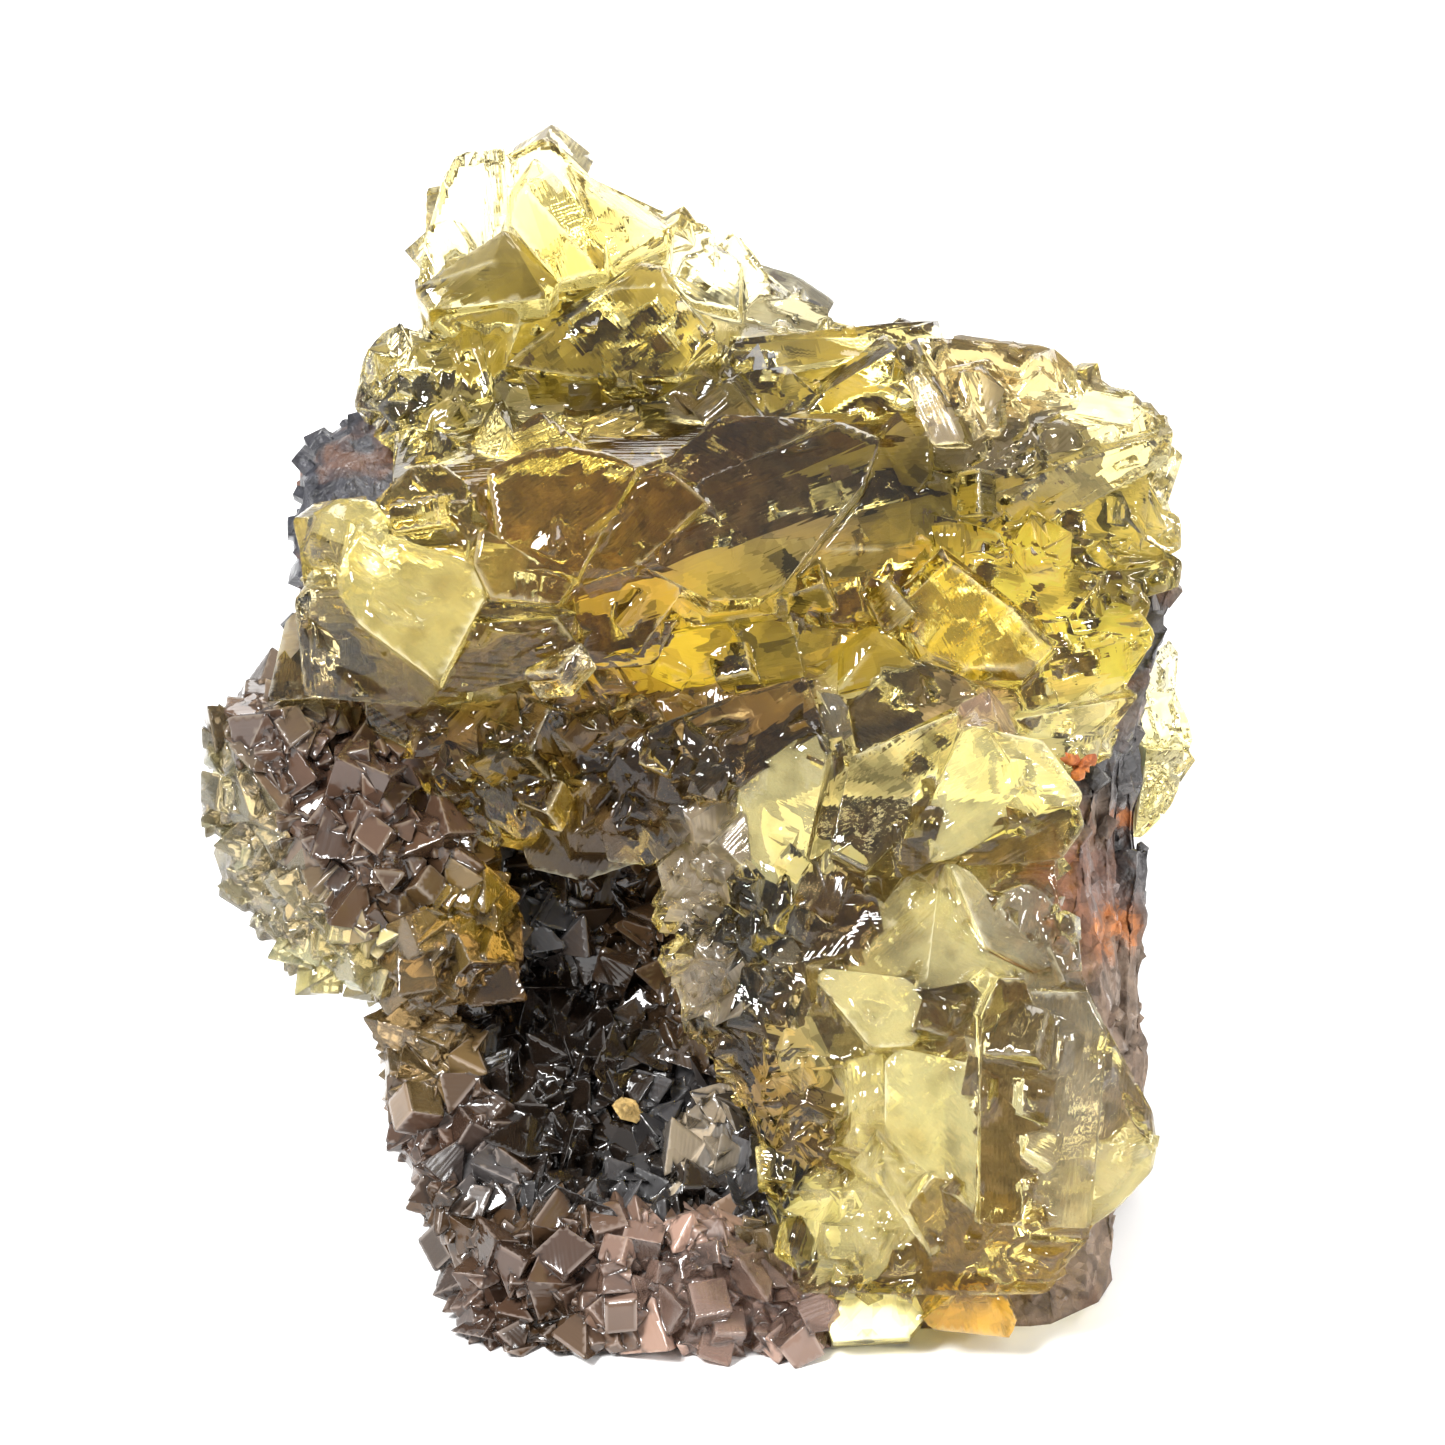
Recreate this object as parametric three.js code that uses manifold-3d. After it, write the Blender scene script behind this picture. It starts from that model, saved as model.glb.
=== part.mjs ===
// Yellow fluorite crystals on a lump of dark rock, in millimetres, standing on a flat cut.
//
// The shapes are given on the display face: "across" runs to the right, "up" runs along the face and
// "out" stands square off it. The face leans back, so place() turns such a point into the standing
// specimen's own X, Y and Z, with Z up. Every crystal is the outline of its front face, pushed back
// into the lump.

import * as THREE from 'three';
import { ConvexGeometry } from 'three/addons/geometries/ConvexGeometry.js';
import { mergeVertices } from 'three/addons/utils/BufferGeometryUtils.js';
import Module from 'manifold-3d';

const wasm = await Module();
wasm.setup();

// The stand

const LEAN_DEG = 22;
const BASE_CUT_HEIGHT = 2.2;
const SAW_BLOCK = 200;
const SEAM = 0.35;
const WELD = 1e-4;
const BEVEL_SLOPE = 0.7;

const LEAN_SIN = Math.sin(THREE.MathUtils.degToRad(LEAN_DEG));
const LEAN_COS = Math.cos(THREE.MathUtils.degToRad(LEAN_DEG));

/** The standing position of a point of the display face. */
function place(across, up, out) {
  return new THREE.Vector3(across, up * LEAN_SIN - out * LEAN_COS, up * LEAN_COS + out * LEAN_SIN);
}

// Each random number is the last one times a factor plus a step, and wraps round at its size
const RANDOM_FACTOR = 1664525;
const RANDOM_STEP = 1013904223;
const RANDOM_SIZE = 2 ** 32;

/** A repeatable run of numbers between 0 and 1, the same for the same seed. */
function numbers(seed) {
  let state = seed;
  return () => {
    state = (state * RANDOM_FACTOR + RANDOM_STEP) % RANDOM_SIZE;
    return state / RANDOM_SIZE;
  };
}

// Solids

/** The bare positions of a geometry, with its shared corners merged. */
function welded(geometry) {
  const plain = geometry.clone();
  plain.deleteAttribute('normal');
  plain.deleteAttribute('uv');
  return mergeVertices(plain, WELD);
}

/** The closed solid of a geometry. */
function toSolid(geometry) {
  const merged = welded(geometry);
  return new wasm.Manifold(new wasm.Mesh({
    numProp: 3,
    vertProperties: new Float32Array(merged.attributes.position.array),
    triVerts: new Uint32Array(merged.index.array),
  }));
}

/** The triangles of the largest closed shell, without the sealed pockets and loose chips beside it. */
function outerShell(points, triangles) {
  const owner = Uint32Array.from({ length: points.length / 3 }, (_, corner) => corner);
  const shellOf = (corner) => {
    let shell = corner;
    while (owner[shell] !== shell) {
      shell = owner[shell];
    }
    owner[corner] = shell;
    return shell;
  };
  for (let first = 0; first < triangles.length; first += 3) {
    owner[shellOf(triangles[first + 1])] = shellOf(triangles[first]);
    owner[shellOf(triangles[first + 2])] = shellOf(triangles[first]);
  }
  const volumes = new Map();
  const corners = [0, 1, 2].map(() => new THREE.Vector3());
  for (let first = 0; first < triangles.length; first += 3) {
    corners.forEach((corner, index) => corner.fromArray(points, triangles[first + index] * 3));
    const shell = shellOf(triangles[first]);
    volumes.set(shell, (volumes.get(shell) ?? 0) + corners[0].dot(corners[1].cross(corners[2])));
  }
  const largest = [...volumes.keys()].reduce((best, shell) => (
    volumes.get(shell) > volumes.get(best) ? shell : best));
  return triangles.filter((_, index) => shellOf(triangles[index - (index % 3)]) === largest);
}

/** The geometry of a closed solid, without the slivers whose corners fall together. */
function toGeometry(solid) {
  const mesh = solid.getMesh();
  const triangles = outerShell(mesh.vertProperties, new Uint32Array(mesh.triVerts));
  const geometry = new THREE.BufferGeometry();
  geometry.setAttribute('position', new THREE.BufferAttribute(new Float32Array(mesh.vertProperties), 3));
  geometry.setIndex(new THREE.BufferAttribute(triangles, 1));
  const merged = mergeVertices(geometry, WELD);
  const corners = Array.from(merged.index.array);
  merged.setIndex(corners.filter((_, index) => {
    const first = index - (index % 3);
    return new Set(corners.slice(first, first + 3)).size === 3;
  }));
  return merged;
}

/** All of the solids joined in one. */
function join(solids) {
  return solids.reduce((whole, solid) => whole.add(solid));
}

/** The convex block around points of the display face. */
function block(points) {
  return toSolid(new ConvexGeometry(points.map((point) => place(...point))));
}

/** The middle of a flat outline. */
function middleOf(face) {
  const sum = face.reduce((total, [across, up]) => [total[0] + across, total[1] + up], [0, 0]);
  return [sum[0] / face.length, sum[1] / face.length];
}

/**
 * One flat-faced crystal: the outline of its front face, how far out the middle of the face is, its
 * tilt (how much further out it comes per millimetre across and up), how deep it goes into the lump,
 * ridge points that rise off the face, and how wide the bevel around the face is. A seam makes it
 * that much larger all round, for cutting its neighbours.
 */
function crystal({ face: outline, out, tilt = [0, 0], deep = 6, ridge = [], bevel = 0 }, seam = 0) {
  const middle = middleOf(outline);
  const spread = 1 + seam / Math.min(...outline.map(([a, u]) => Math.hypot(a - middle[0], u - middle[1])));
  const face = outline.map((point) => point.map((value, axis) => (
    middle[axis] + (value - middle[axis]) * spread)));
  const outAt = (across, up) => out + seam + tilt[0] * (across - middle[0]) + tilt[1] * (up - middle[1]);
  const inward = new THREE.Vector3(tilt[0], tilt[1], -1).normalize();
  const sunk = ([across, up, depth], distance) => [
    across + inward.x * distance,
    up + inward.y * distance,
    depth + inward.z * distance,
  ];
  const rim = face.map(([across, up]) => [across, up, outAt(across, up)]);
  const points = rim.map((point) => sunk(point, deep + 2 * seam));
  points.push(...ridge.map(([across, up, rise]) => [across, up, outAt(across, up) + rise]));
  if (bevel > 0) {
    const reach = Math.max(...face.map(([a, u]) => Math.hypot(a - middle[0], u - middle[1])));
    const keep = 1 - bevel / reach;
    points.push(...rim.map((point) => sunk(point, bevel * BEVEL_SLOPE)));
    points.push(...face.map(([across, up]) => {
      const inner = [middle[0] + (across - middle[0]) * keep, middle[1] + (up - middle[1]) * keep];
      return [...inner, outAt(...inner)];
    }));
  } else {
    points.push(...rim);
  }
  return block(points);
}

// The fluorite of the front, by its places on the display face

const TOP_CRYSTALS = [
  // Pale rounded one at the back on the left, and the one below it
  { face: [[-18.9, 69.5], [-17.7, 74.2], [-16.9, 75.6], [-13.9, 76.1], [-13.5, 72], [-14.5, 69]],
    out: -8, tilt: [0.15, -0.35], deep: 7 },
  { face: [[-19.3, 66.8], [-18.6, 70.8], [-17, 71.2], [-15.9, 69.5], [-16.5, 67.5]],
    out: -5.5, tilt: [0.3, -0.1], deep: 7 },
  // The highest one, and the ridge that falls from it to the right
  { face: [[-14.7, 75.1], [-11.1, 76.8], [-10, 75.9], [-8.1, 74], [-9, 71], [-13, 71]],
    out: -9, tilt: [-0.1, -0.4] },
  { face: [[-13.4, 72.8], [-11.8, 75.2], [-10.6, 74.2], [-7.2, 70], [-7, 67.5], [-10.3, 67],
    [-13.3, 70.9]], out: -5.5, tilt: [-0.1, -0.2], deep: 7, ridge: [[-12.4, 73.1, 1.3], [-7.5, 67.7, 1.3]] },
  { face: [[-9.8, 75], [-8.2, 73.8], [-2.8, 70.8], [-3.4, 69.6], [-6.8, 68.2]],
    out: -7, tilt: [-0.05, -0.5], ridge: [[-8.6, 73, 0.8], [-4, 70.4, 0.8]] },
  { face: [[-3.2, 70.6], [-2.5, 71.5], [-0.9, 71], [0, 70], [-0.6, 68], [-3, 68.2]],
    out: -7.5, tilt: [-0.1, -0.3], deep: 5 },
  // The pale pair at the right of the top
  { face: [[-0.7, 70.1], [0.8, 70.5], [2.3, 69], [3.2, 67.2], [1.3, 65.2], [-1, 67]],
    out: -6.5, tilt: [-0.4, -0.1] },
  { face: [[-3.1, 67.2], [-2.4, 68.8], [-0.3, 69.6], [1.3, 68.5], [1.2, 65.3], [-1.9, 66]],
    out: -5.2, tilt: [0.1, -0.3], deep: 5 },
];

const OLIVE_ROW = [
  // The dark peak on the left with its lower piece
  { face: [[-19.3, 66.6], [-17, 68.1], [-13.6, 70.5], [-12.8, 69.9], [-10.2, 67.1], [-11, 66], [-18.4, 65.2]],
    out: -3.2, tilt: [0, -0.35], deep: 8, ridge: [[-14.4, 68.3, 0.9], [-12.3, 68.2, 1]] },
  { face: [[-17.9, 65.6], [-16.3, 66.8], [-13.4, 66.8], [-12.6, 64.4], [-13.6, 61.8], [-16.8, 64]],
    out: -3.4, tilt: [0, 0.1], deep: 7 },
  // The big olive cube and its lower face
  { face: [[-13.6, 61.7], [-9.1, 65.8], [-5, 68.5], [-3.9, 68.4], [-0.1, 63.3], [-2.6, 61], [-8.4, 60.9]],
    out: -2, tilt: [0, -0.45], deep: 9, ridge: [[-6.9, 66.5, 0.8], [-3.2, 66.7, 0.6]] },
  { face: [[-12.4, 61.2], [-1.2, 61.1], [0.2, 60.5], [0, 59.1], [-8.8, 58.4], [-11.8, 58.9]],
    out: -1.6, tilt: [0, 0.45], deep: 8 },
  // The tooth and the glowing lump at the left edge
  { face: [[-18.3, 61.9], [-16.1, 64.3], [-15.2, 64], [-14.4, 59.8], [-17.2, 58.8]],
    out: -2.5, tilt: [0.25, -0.3], deep: 7 },
  { face: [[-22.7, 62.4], [-21.6, 63.9], [-20.5, 64.5], [-19, 63.9], [-17.8, 59.8], [-20, 58.6],
    [-23.3, 59.2]], out: -4.5, tilt: [0.4, -0.35], deep: 8, ridge: [[-20.6, 61.5, 1.2]] },
  // The grey prism and the dark slab of the row below
  { face: [[-15.4, 57.2], [-14.2, 59.6], [-13.6, 59.5], [-11.9, 56.6], [-13, 55.7], [-15.3, 55.3]],
    out: 0.5, tilt: [0.2, -0.4], deep: 7, ridge: [[-14.1, 58.9, 0.6], [-12.6, 56.6, 0.8]] },
  { face: [[-12.2, 56.9], [-9.3, 57.2], [-8.6, 56.9], [-9.2, 55.6], [-12, 55.8]],
    out: 1.5, tilt: [0, -0.5], deep: 5 },
  { face: [[-8.6, 58.2], [-5.7, 59.4], [-4.9, 58.2], [-6.9, 56.8], [-8.7, 56]],
    out: 0.2, tilt: [0.2, -0.3] },
  // The block behind the grey leaf
  { face: [[0, 60.6], [1.2, 61.3], [4.2, 61.7], [6.2, 59.8], [5, 58.2], [0.4, 58.4]],
    out: -1.4, tilt: [-0.1, -0.3] },
];

const UPPER_RIGHT = [
  // The cloudy lump at the back and the long slabs in front of it
  { face: [[1.2, 64.9], [2.3, 66.1], [4.8, 66.3], [6.9, 65.6], [7, 63.6], [1.3, 63.9]],
    out: -7, tilt: [-0.05, -0.3] },
  { face: [[-0.4, 61.9], [1.1, 63.5], [11.6, 64.7], [13.9, 64.8], [14.3, 63.4], [2.4, 61.4], [0, 60.9]],
    out: -4, tilt: [-0.15, -0.6] },
  { face: [[5.2, 58.4], [6.3, 59.8], [11.2, 62.8], [12, 61.5], [12.8, 57], [10.2, 57]],
    out: -1.6, tilt: [-0.2, 0.25], deep: 7 },
  // The silver blade and the ribbed prism
  { face: [[11.2, 61.8], [12.1, 62.1], [14.2, 59.1], [15.2, 56.8], [13.3, 56.6]],
    out: -0.4, tilt: [0.35, -0.1] },
  { face: [[15.3, 61.3], [16.5, 61.8], [18, 60.2], [18.1, 58], [17.6, 57.3], [16.5, 57.5]],
    out: -1.6, tilt: [-0.1, -0.1], ridge: [[16.4, 61.2, 0.6], [16.9, 57.8, 0.8]] },
  // The brownish face along the skyline and the plate below
  { face: [[12.7, 63.1], [14.4, 63.6], [21.2, 63], [25.2, 59.6], [18, 60.1], [14, 61.4]],
    out: -4.2, tilt: [-0.15, -0.45], deep: 8 },
  { face: [[19.5, 60.2], [23, 60.1], [27.5, 59.1], [27.8, 57.8], [19.4, 57.2]],
    out: -3.6, tilt: [-0.2, -0.5], deep: 7 },
  // The two faces of the long slab that reaches the right edge
  { face: [[14.8, 54.7], [20, 57.7], [28.1, 58.4], [28.7, 57.4], [20.8, 55.2], [16.3, 53.3]],
    out: -1.8, tilt: [-0.2, -0.4], deep: 7 },
  { face: [[16.3, 53.1], [20.8, 55.3], [28.7, 57.5], [28.4, 55.6], [21.2, 52], [18.9, 51.3]],
    out: -1.5, tilt: [-0.2, 0.35], deep: 7 },
  // The pale tips of the right edge and the ribbed face beside them
  { face: [[28.3, 57.2], [29.5, 56.2], [29.2, 55.2], [28.4, 52.9], [27.4, 54.2]],
    out: -5.5, tilt: [-0.5, 0], deep: 5.6 },
  { face: [[21.3, 52.1], [24.9, 54.9], [27.2, 54.6], [26.9, 50.8], [24.2, 50], [22, 50.6]],
    out: -2.6, tilt: [-0.3, -0.1], deep: 8 },
  { face: [[27.1, 53.2], [29.3, 52.3], [29.4, 50.2], [28.4, 49.8], [26.8, 50.6]],
    out: -5, tilt: [-0.4, 0] },
  // The golden wedge and the small pieces at the inner end of the slabs
  { face: [[19.6, 52.6], [22.2, 51.1], [22, 49], [19.8, 48.8], [17.8, 49.5]],
    out: -0.6, tilt: [-0.1, -0.2], deep: 7, ridge: [[19.6, 52.2, 0.5], [19.5, 49.4, 0.9]] },
  { face: [[13, 55.2], [16.4, 53.8], [17.6, 52.2], [16, 51.1], [14.2, 51.3], [13.2, 52.8]],
    out: 0, tilt: [0.2, 0.1] },
  { face: [[10, 57.3], [13, 57.2], [13.3, 55], [11, 51.6], [9, 51], [9.3, 54.4]],
    out: -0.2, tilt: [0.2, 0] },
  { face: [[9.6, 51.6], [13, 52.4], [17.6, 51.2], [18.2, 49.2], [10, 49.8]],
    out: 0.8, tilt: [0, -0.3] },
];

const AMBER_GROUP = [
  // The bright lens, the pale faces left and above it, and the olive face below
  { face: [[-24.3, 51.2], [-22, 51.4], [-15.3, 49], [-14.4, 47.1], [-17.3, 41.6], [-22.3, 45.3],
    [-23.5, 47.1]], out: 8.6, tilt: [0.05, -0.2], deep: 8 },
  { face: [[-26.1, 50], [-25, 52.3], [-24, 52.2], [-23.6, 47.2], [-25.8, 47.4]],
    out: 6.8, tilt: [0.5, -0.1], deep: 7 },
  { face: [[-25.2, 52.2], [-23.6, 53.1], [-21.4, 53], [-20.4, 51], [-24.5, 51]],
    out: 7, tilt: [0, -0.5] },
  { face: [[-26.4, 46.8], [-25.8, 47.5], [-23.6, 47.5], [-17.3, 41.6], [-18.2, 40.1], [-25.8, 40.8]],
    out: 7.4, tilt: [0.15, 0.25], deep: 8 },
  { face: [[-27.2, 45.5], [-26.3, 46.2], [-24, 40.8], [-28.4, 40.5]], out: 4.4, tilt: [0.6, 0] },
  // The pair of crystals above the lens
  { face: [[-21.5, 53], [-19.2, 55.2], [-17.2, 55.4], [-15.7, 54.1], [-15.8, 53], [-20, 51]],
    out: 5.8, tilt: [0, -0.35], deep: 7 },
  { face: [[-20.4, 50.8], [-17.6, 52.8], [-15.4, 52.8], [-15.4, 48.9], [-17, 49.4]],
    out: 6.2, tilt: [0.1, 0.25] },
  // The fan, the triangle below it and the lower crystal
  { face: [[-14.5, 54.9], [-12, 56.1], [-9.9, 56.4], [-7, 56], [-5.1, 55], [-8.8, 48.2], [-11, 48.6],
    [-13.8, 50.8]], out: 7.4, tilt: [0, -0.3], deep: 8 },
  { face: [[-14.9, 51.4], [-9.1, 47.8], [-10, 46.5], [-14.2, 46.9], [-15.3, 49.1]],
    out: 8.8, tilt: [0, -0.15] },
  { face: [[-14.6, 46.9], [-10.6, 46.6], [-8.9, 46], [-9.2, 45.2], [-12, 44.7], [-15.4, 45]],
    out: 9, tilt: [0, -0.5], deep: 5 },
  { face: [[-15, 45.3], [-10, 45.6], [-8.7, 43.9], [-9.8, 42.3], [-15.5, 41], [-17.4, 41.1]],
    out: 9, tilt: [0.1, 0.25], deep: 7 },
  // The slab that leans on the grey leaf, and the amber faces below it
  { face: [[-3, 54.8], [-0.8, 53], [-4.9, 49], [-8.5, 47.8], [-8.7, 48.8], [-5, 54.5]],
    out: 7.2, tilt: [0.1, -0.15], deep: 7 },
  { face: [[-9.2, 48.2], [-5, 49.3], [-2.6, 48.6], [-2.4, 47.2], [-5.1, 43.4], [-8.6, 43.7]],
    out: 6.8, tilt: [0, 0.05], deep: 7 },
  { face: [[-9.8, 42.3], [-8.8, 44.2], [-5, 44.1], [-2.6, 45.6], [-4, 42.8]],
    out: 6, tilt: [0, 0.2], deep: 5 },
];

const CENTRE = [
  // The big grey leaf and the face behind its upper edge
  { face: [[-4.9, 49], [-1.2, 54.3], [7.5, 58.1], [10.1, 57], [9.2, 54.4], [4, 47.8], [2.6, 47],
    [-0.5, 46.7]], out: 5.2, tilt: [-0.1, -0.35], deep: 7 },
  { face: [[-3.7, 54.9], [-3, 55.9], [0, 58.5], [7.3, 58.2], [1, 55.2], [-1.2, 54]],
    out: 3, tilt: [0, -0.55] },
  // The yellow strip and the small crystals under the leaf
  { face: [[-3.1, 47], [2.9, 47.2], [4.3, 48], [4.2, 45.2], [0.4, 44.9], [-1.8, 44.8]],
    out: 4.6, tilt: [0, 0.2] },
  { face: [[-3.6, 44.6], [0.4, 45.3], [1.7, 43.4], [0.6, 42.2], [-3.2, 41.6]], out: 4.8, tilt: [0, 0.1] },
  { face: [[1.2, 45.3], [4.5, 45.8], [5.3, 42], [1, 41], [0.7, 42.8]], out: 4.4, tilt: [-0.1, 0.1] },
  // The amber pane, the golden rhomb and the crystals between them
  { face: [[5.7, 49], [8, 49.9], [13, 50.4], [10.4, 46.8], [10.1, 45.4], [5.5, 45.4]],
    out: 2.2, tilt: [-0.1, -0.2], deep: 7 },
  { face: [[13.9, 50.4], [10.3, 46.8], [12.3, 43.3], [15.3, 42], [18.9, 42], [20.9, 44.1], [18.8, 46.6]],
    out: 4, tilt: [0, -0.25], deep: 9, bevel: 1.1 },
  { face: [[7.4, 43.7], [8.7, 44.9], [10, 45.4], [12.4, 43], [10.3, 41.8], [7.3, 41]],
    out: 3.8, tilt: [0, -0.2], ridge: [[9.6, 44.2, 0.8]] },
  // The dark leaf over the lower mass, the pink pane at its end and the small pane on the left
  { face: [[8, 40.3], [10, 42.1], [12.3, 43.1], [13.8, 42.8], [16.7, 41.2], [8.5, 37.2]],
    out: 4.8, tilt: [0, -0.5], deep: 8 },
  { face: [[14.3, 38.3], [14.9, 40.3], [16.8, 41.3], [17.7, 40.2], [18.5, 38.6], [16.2, 37.9]],
    out: 5.4, tilt: [-0.4, -0.2] },
  { face: [[6.6, 37], [6, 41.2], [7.4, 40.9], [8.6, 39.4], [8.4, 36.9]], out: 5, deep: 5 },
];

const RIGHT_FLANK = [
  // The green-yellow faces between the rhomb and the rock band
  { face: [[14.6, 49.7], [17.5, 50], [23.9, 48.4], [23.6, 45.6], [21, 44.8], [18.2, 46.8]],
    out: 1, tilt: [-0.2, -0.1], deep: 7 },
  { face: [[22.6, 48.7], [25.5, 48.8], [27.3, 46.8], [26.8, 45.6], [23.4, 45.2]], out: -1,
    tilt: [-0.35, 0], deep: 7 },
  { face: [[21.8, 49.4], [26.8, 50.9], [29.4, 49.4], [29.2, 47.8], [26.6, 47], [22.4, 48]],
    out: -3, tilt: [-0.3, 0], deep: 7 },
  { face: [[19.2, 45.3], [26.6, 46.1], [27.5, 44.7], [25, 40.7], [19.6, 39.2], [18.6, 41.6]],
    out: 1.2, tilt: [-0.35, -0.05], deep: 9 },
  { face: [[18.4, 39.4], [26.3, 40.9], [24, 37.9], [22.7, 37.5], [20, 37.6]],
    out: 2.2, tilt: [-0.3, 0.3], deep: 7 },
];

const LOWER_MASS = [
  // The white-edged pane on the left, the middle faces and the right ones
  { face: [[8.1, 37.1], [14.7, 39.9], [15.1, 38.6], [13.1, 34], [9, 30], [6.8, 31.2]],
    out: 8.2, tilt: [-0.02, -0.25], deep: 8 },
  { face: [[12.9, 34.8], [13.2, 30.3], [11.4, 29.6], [8.9, 29.8], [9.8, 32.4]],
    out: 8.8, tilt: [0.1, 0.05], deep: 7 },
  { face: [[13, 34.3], [15.2, 39], [16.6, 38.9], [20.2, 34], [14.4, 30.8], [12.9, 30.6]],
    out: 8.6, tilt: [-0.25, -0.15], deep: 8 },
  { face: [[16.7, 38.8], [20.1, 38.1], [22.6, 34.8], [22.3, 34.1], [19.8, 33.9]],
    out: 7.2, tilt: [-0.35, -0.1], deep: 8 },
  { face: [[17.3, 33.3], [22.3, 34.1], [22.7, 32.7], [21.4, 30.8], [19.4, 30.5], [14.6, 30.3]],
    out: 7.6, tilt: [-0.3, 0.1], deep: 8 },
  // The dark sunken face and the strip along the blade
  { face: [[6.8, 31.6], [13, 30.2], [8.2, 23.9], [6, 23.7], [5.2, 27.5], [5.4, 29.8]],
    out: 6.4, tilt: [0, 0.1], deep: 7 },
  { face: [[6.5, 37.6], [8.3, 37.2], [6.3, 27], [5, 26.8], [5.3, 30.2]],
    out: 6.6, tilt: [0.3, 0], deep: 7 },
  // The pyramid, and the slabs down its right side
  { face: [[13.7, 30.4], [7.9, 24.1], [8.2, 22], [12.5, 19.5], [17, 20.5], [20, 24]],
    out: 9, tilt: [0, -0.4], deep: 9, ridge: [[13.6, 29.6, 0.3], [12.7, 22.8, 2.2]] },
  { face: [[14.1, 30.6], [15.4, 30.1], [20.5, 24.2], [19.4, 23.8], [16.4, 25.4]],
    out: 9.6, tilt: [-0.2, -0.2], deep: 7 },
  { face: [[16.4, 28.2], [19, 29.3], [20.4, 28.4], [22.4, 24.8], [22.1, 23.9], [20.2, 23.9]],
    out: 8.2, tilt: [-0.35, -0.1], deep: 7 },
  // The left block and the small clear crystal beside it
  { face: [[5.9, 23.3], [6.3, 24.1], [12.1, 23.4], [12.8, 20.8], [11.8, 19.3], [9.3, 19.2]],
    out: 11.2, tilt: [0.05, -0.15], deep: 8 },
  { face: [[12.6, 20.4], [13.5, 21.8], [15.8, 21.1], [17, 19.2], [15.4, 18], [13.7, 18.5]],
    out: 10.8, deep: 5, ridge: [[15, 20, 0.6]] },
  // The tall block, in its two columns, and its right side
  { face: [[16, 21.3], [17, 23.6], [18.6, 23.6], [19.4, 21.5], [19.7, 14], [19, 8.4], [15.9, 8.5]],
    out: 14, tilt: [-0.1, 0], deep: 9 },
  { face: [[18.9, 22.8], [22.6, 22.7], [23.8, 20.4], [22.7, 8.2], [18.4, 8.4]],
    out: 13.2, tilt: [-0.2, 0], deep: 10 },
  { face: [[22.2, 22.5], [23.7, 20.6], [26.9, 14.9], [27.1, 13], [22.7, 13.1]],
    out: 10.6, tilt: [-0.8, 0.05], deep: 9 },
  { face: [[22.7, 13.5], [27.1, 13.1], [26.8, 11.6], [24.6, 9.3], [22.9, 8.2]],
    out: 10.4, tilt: [-0.7, 0.2], deep: 8 },
  // The square block left of it, the yellow face below and the crystals of the lower left
  { face: [[10.1, 18.4], [11, 19.2], [17, 18], [17.3, 16], [15.5, 9.2], [10.1, 13.8]],
    out: 12.2, tilt: [0.05, -0.05], deep: 9 },
  { face: [[11.5, 9.4], [13.2, 6.4], [15, 5.1], [20.3, 4.6], [22.8, 7.5], [22.7, 8.6], [13, 11.4]],
    out: 11, tilt: [0, 0.45], deep: 9 },
  { face: [[9.9, 14.1], [13.8, 11], [15.7, 9.4], [13, 6.2], [11, 9.4], [8, 13.2]],
    out: 10.8, tilt: [0.2, 0.1], deep: 7 },
  { face: [[4, 9], [8.6, 11.8], [11.4, 9.2], [12.8, 6.9], [7, 4.9], [5, 6.2]],
    out: 7.6, tilt: [0.1, -0.2] },
  { face: [[2.8, 11.6], [4.8, 13.8], [6.3, 11.8], [6.3, 9.8], [4.1, 8.7]], out: 6.6, tilt: [0.3, 0] },
  { face: [[3.2, 17.2], [5.2, 12.2], [8, 12.6], [8.3, 16], [7.9, 17.9], [5, 17.7]],
    out: 7.4, tilt: [0.2, 0.1], deep: 7 },
  { face: [[7.8, 18.4], [10, 18.8], [10.4, 14], [9.6, 13.2], [8, 13.7]],
    out: 10, tilt: [0.3, 0], deep: 7 },
  { face: [[3, 20], [6, 23.6], [9.5, 19.6], [8.4, 17.9], [3.8, 17.6]],
    out: 8.4, tilt: [0.2, -0.1], deep: 7 },
];

const BOTTOM_ROW = [
  { face: [[6.6, 2], [8.8, 5.6], [10.9, 6.3], [12.7, 2.5], [11.8, 1.2], [7, 0.9]],
    out: 7.6, tilt: [0, -0.2], deep: 8 },
  { face: [[10.9, 6.4], [14.2, 5.8], [15.2, 5.1], [12.2, 4.3]], out: 8.6, tilt: [0, 0.2] },
  { face: [[12.5, 2.3], [15, 5.2], [17.2, 4.8], [18.4, 2.2], [17.9, 1.1], [13.2, 1.6]],
    out: 8.6, tilt: [0, 0.1], deep: 9, ridge: [[15, 4.4, 0.8], [17, 3.6, 0.6]] },
];

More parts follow.
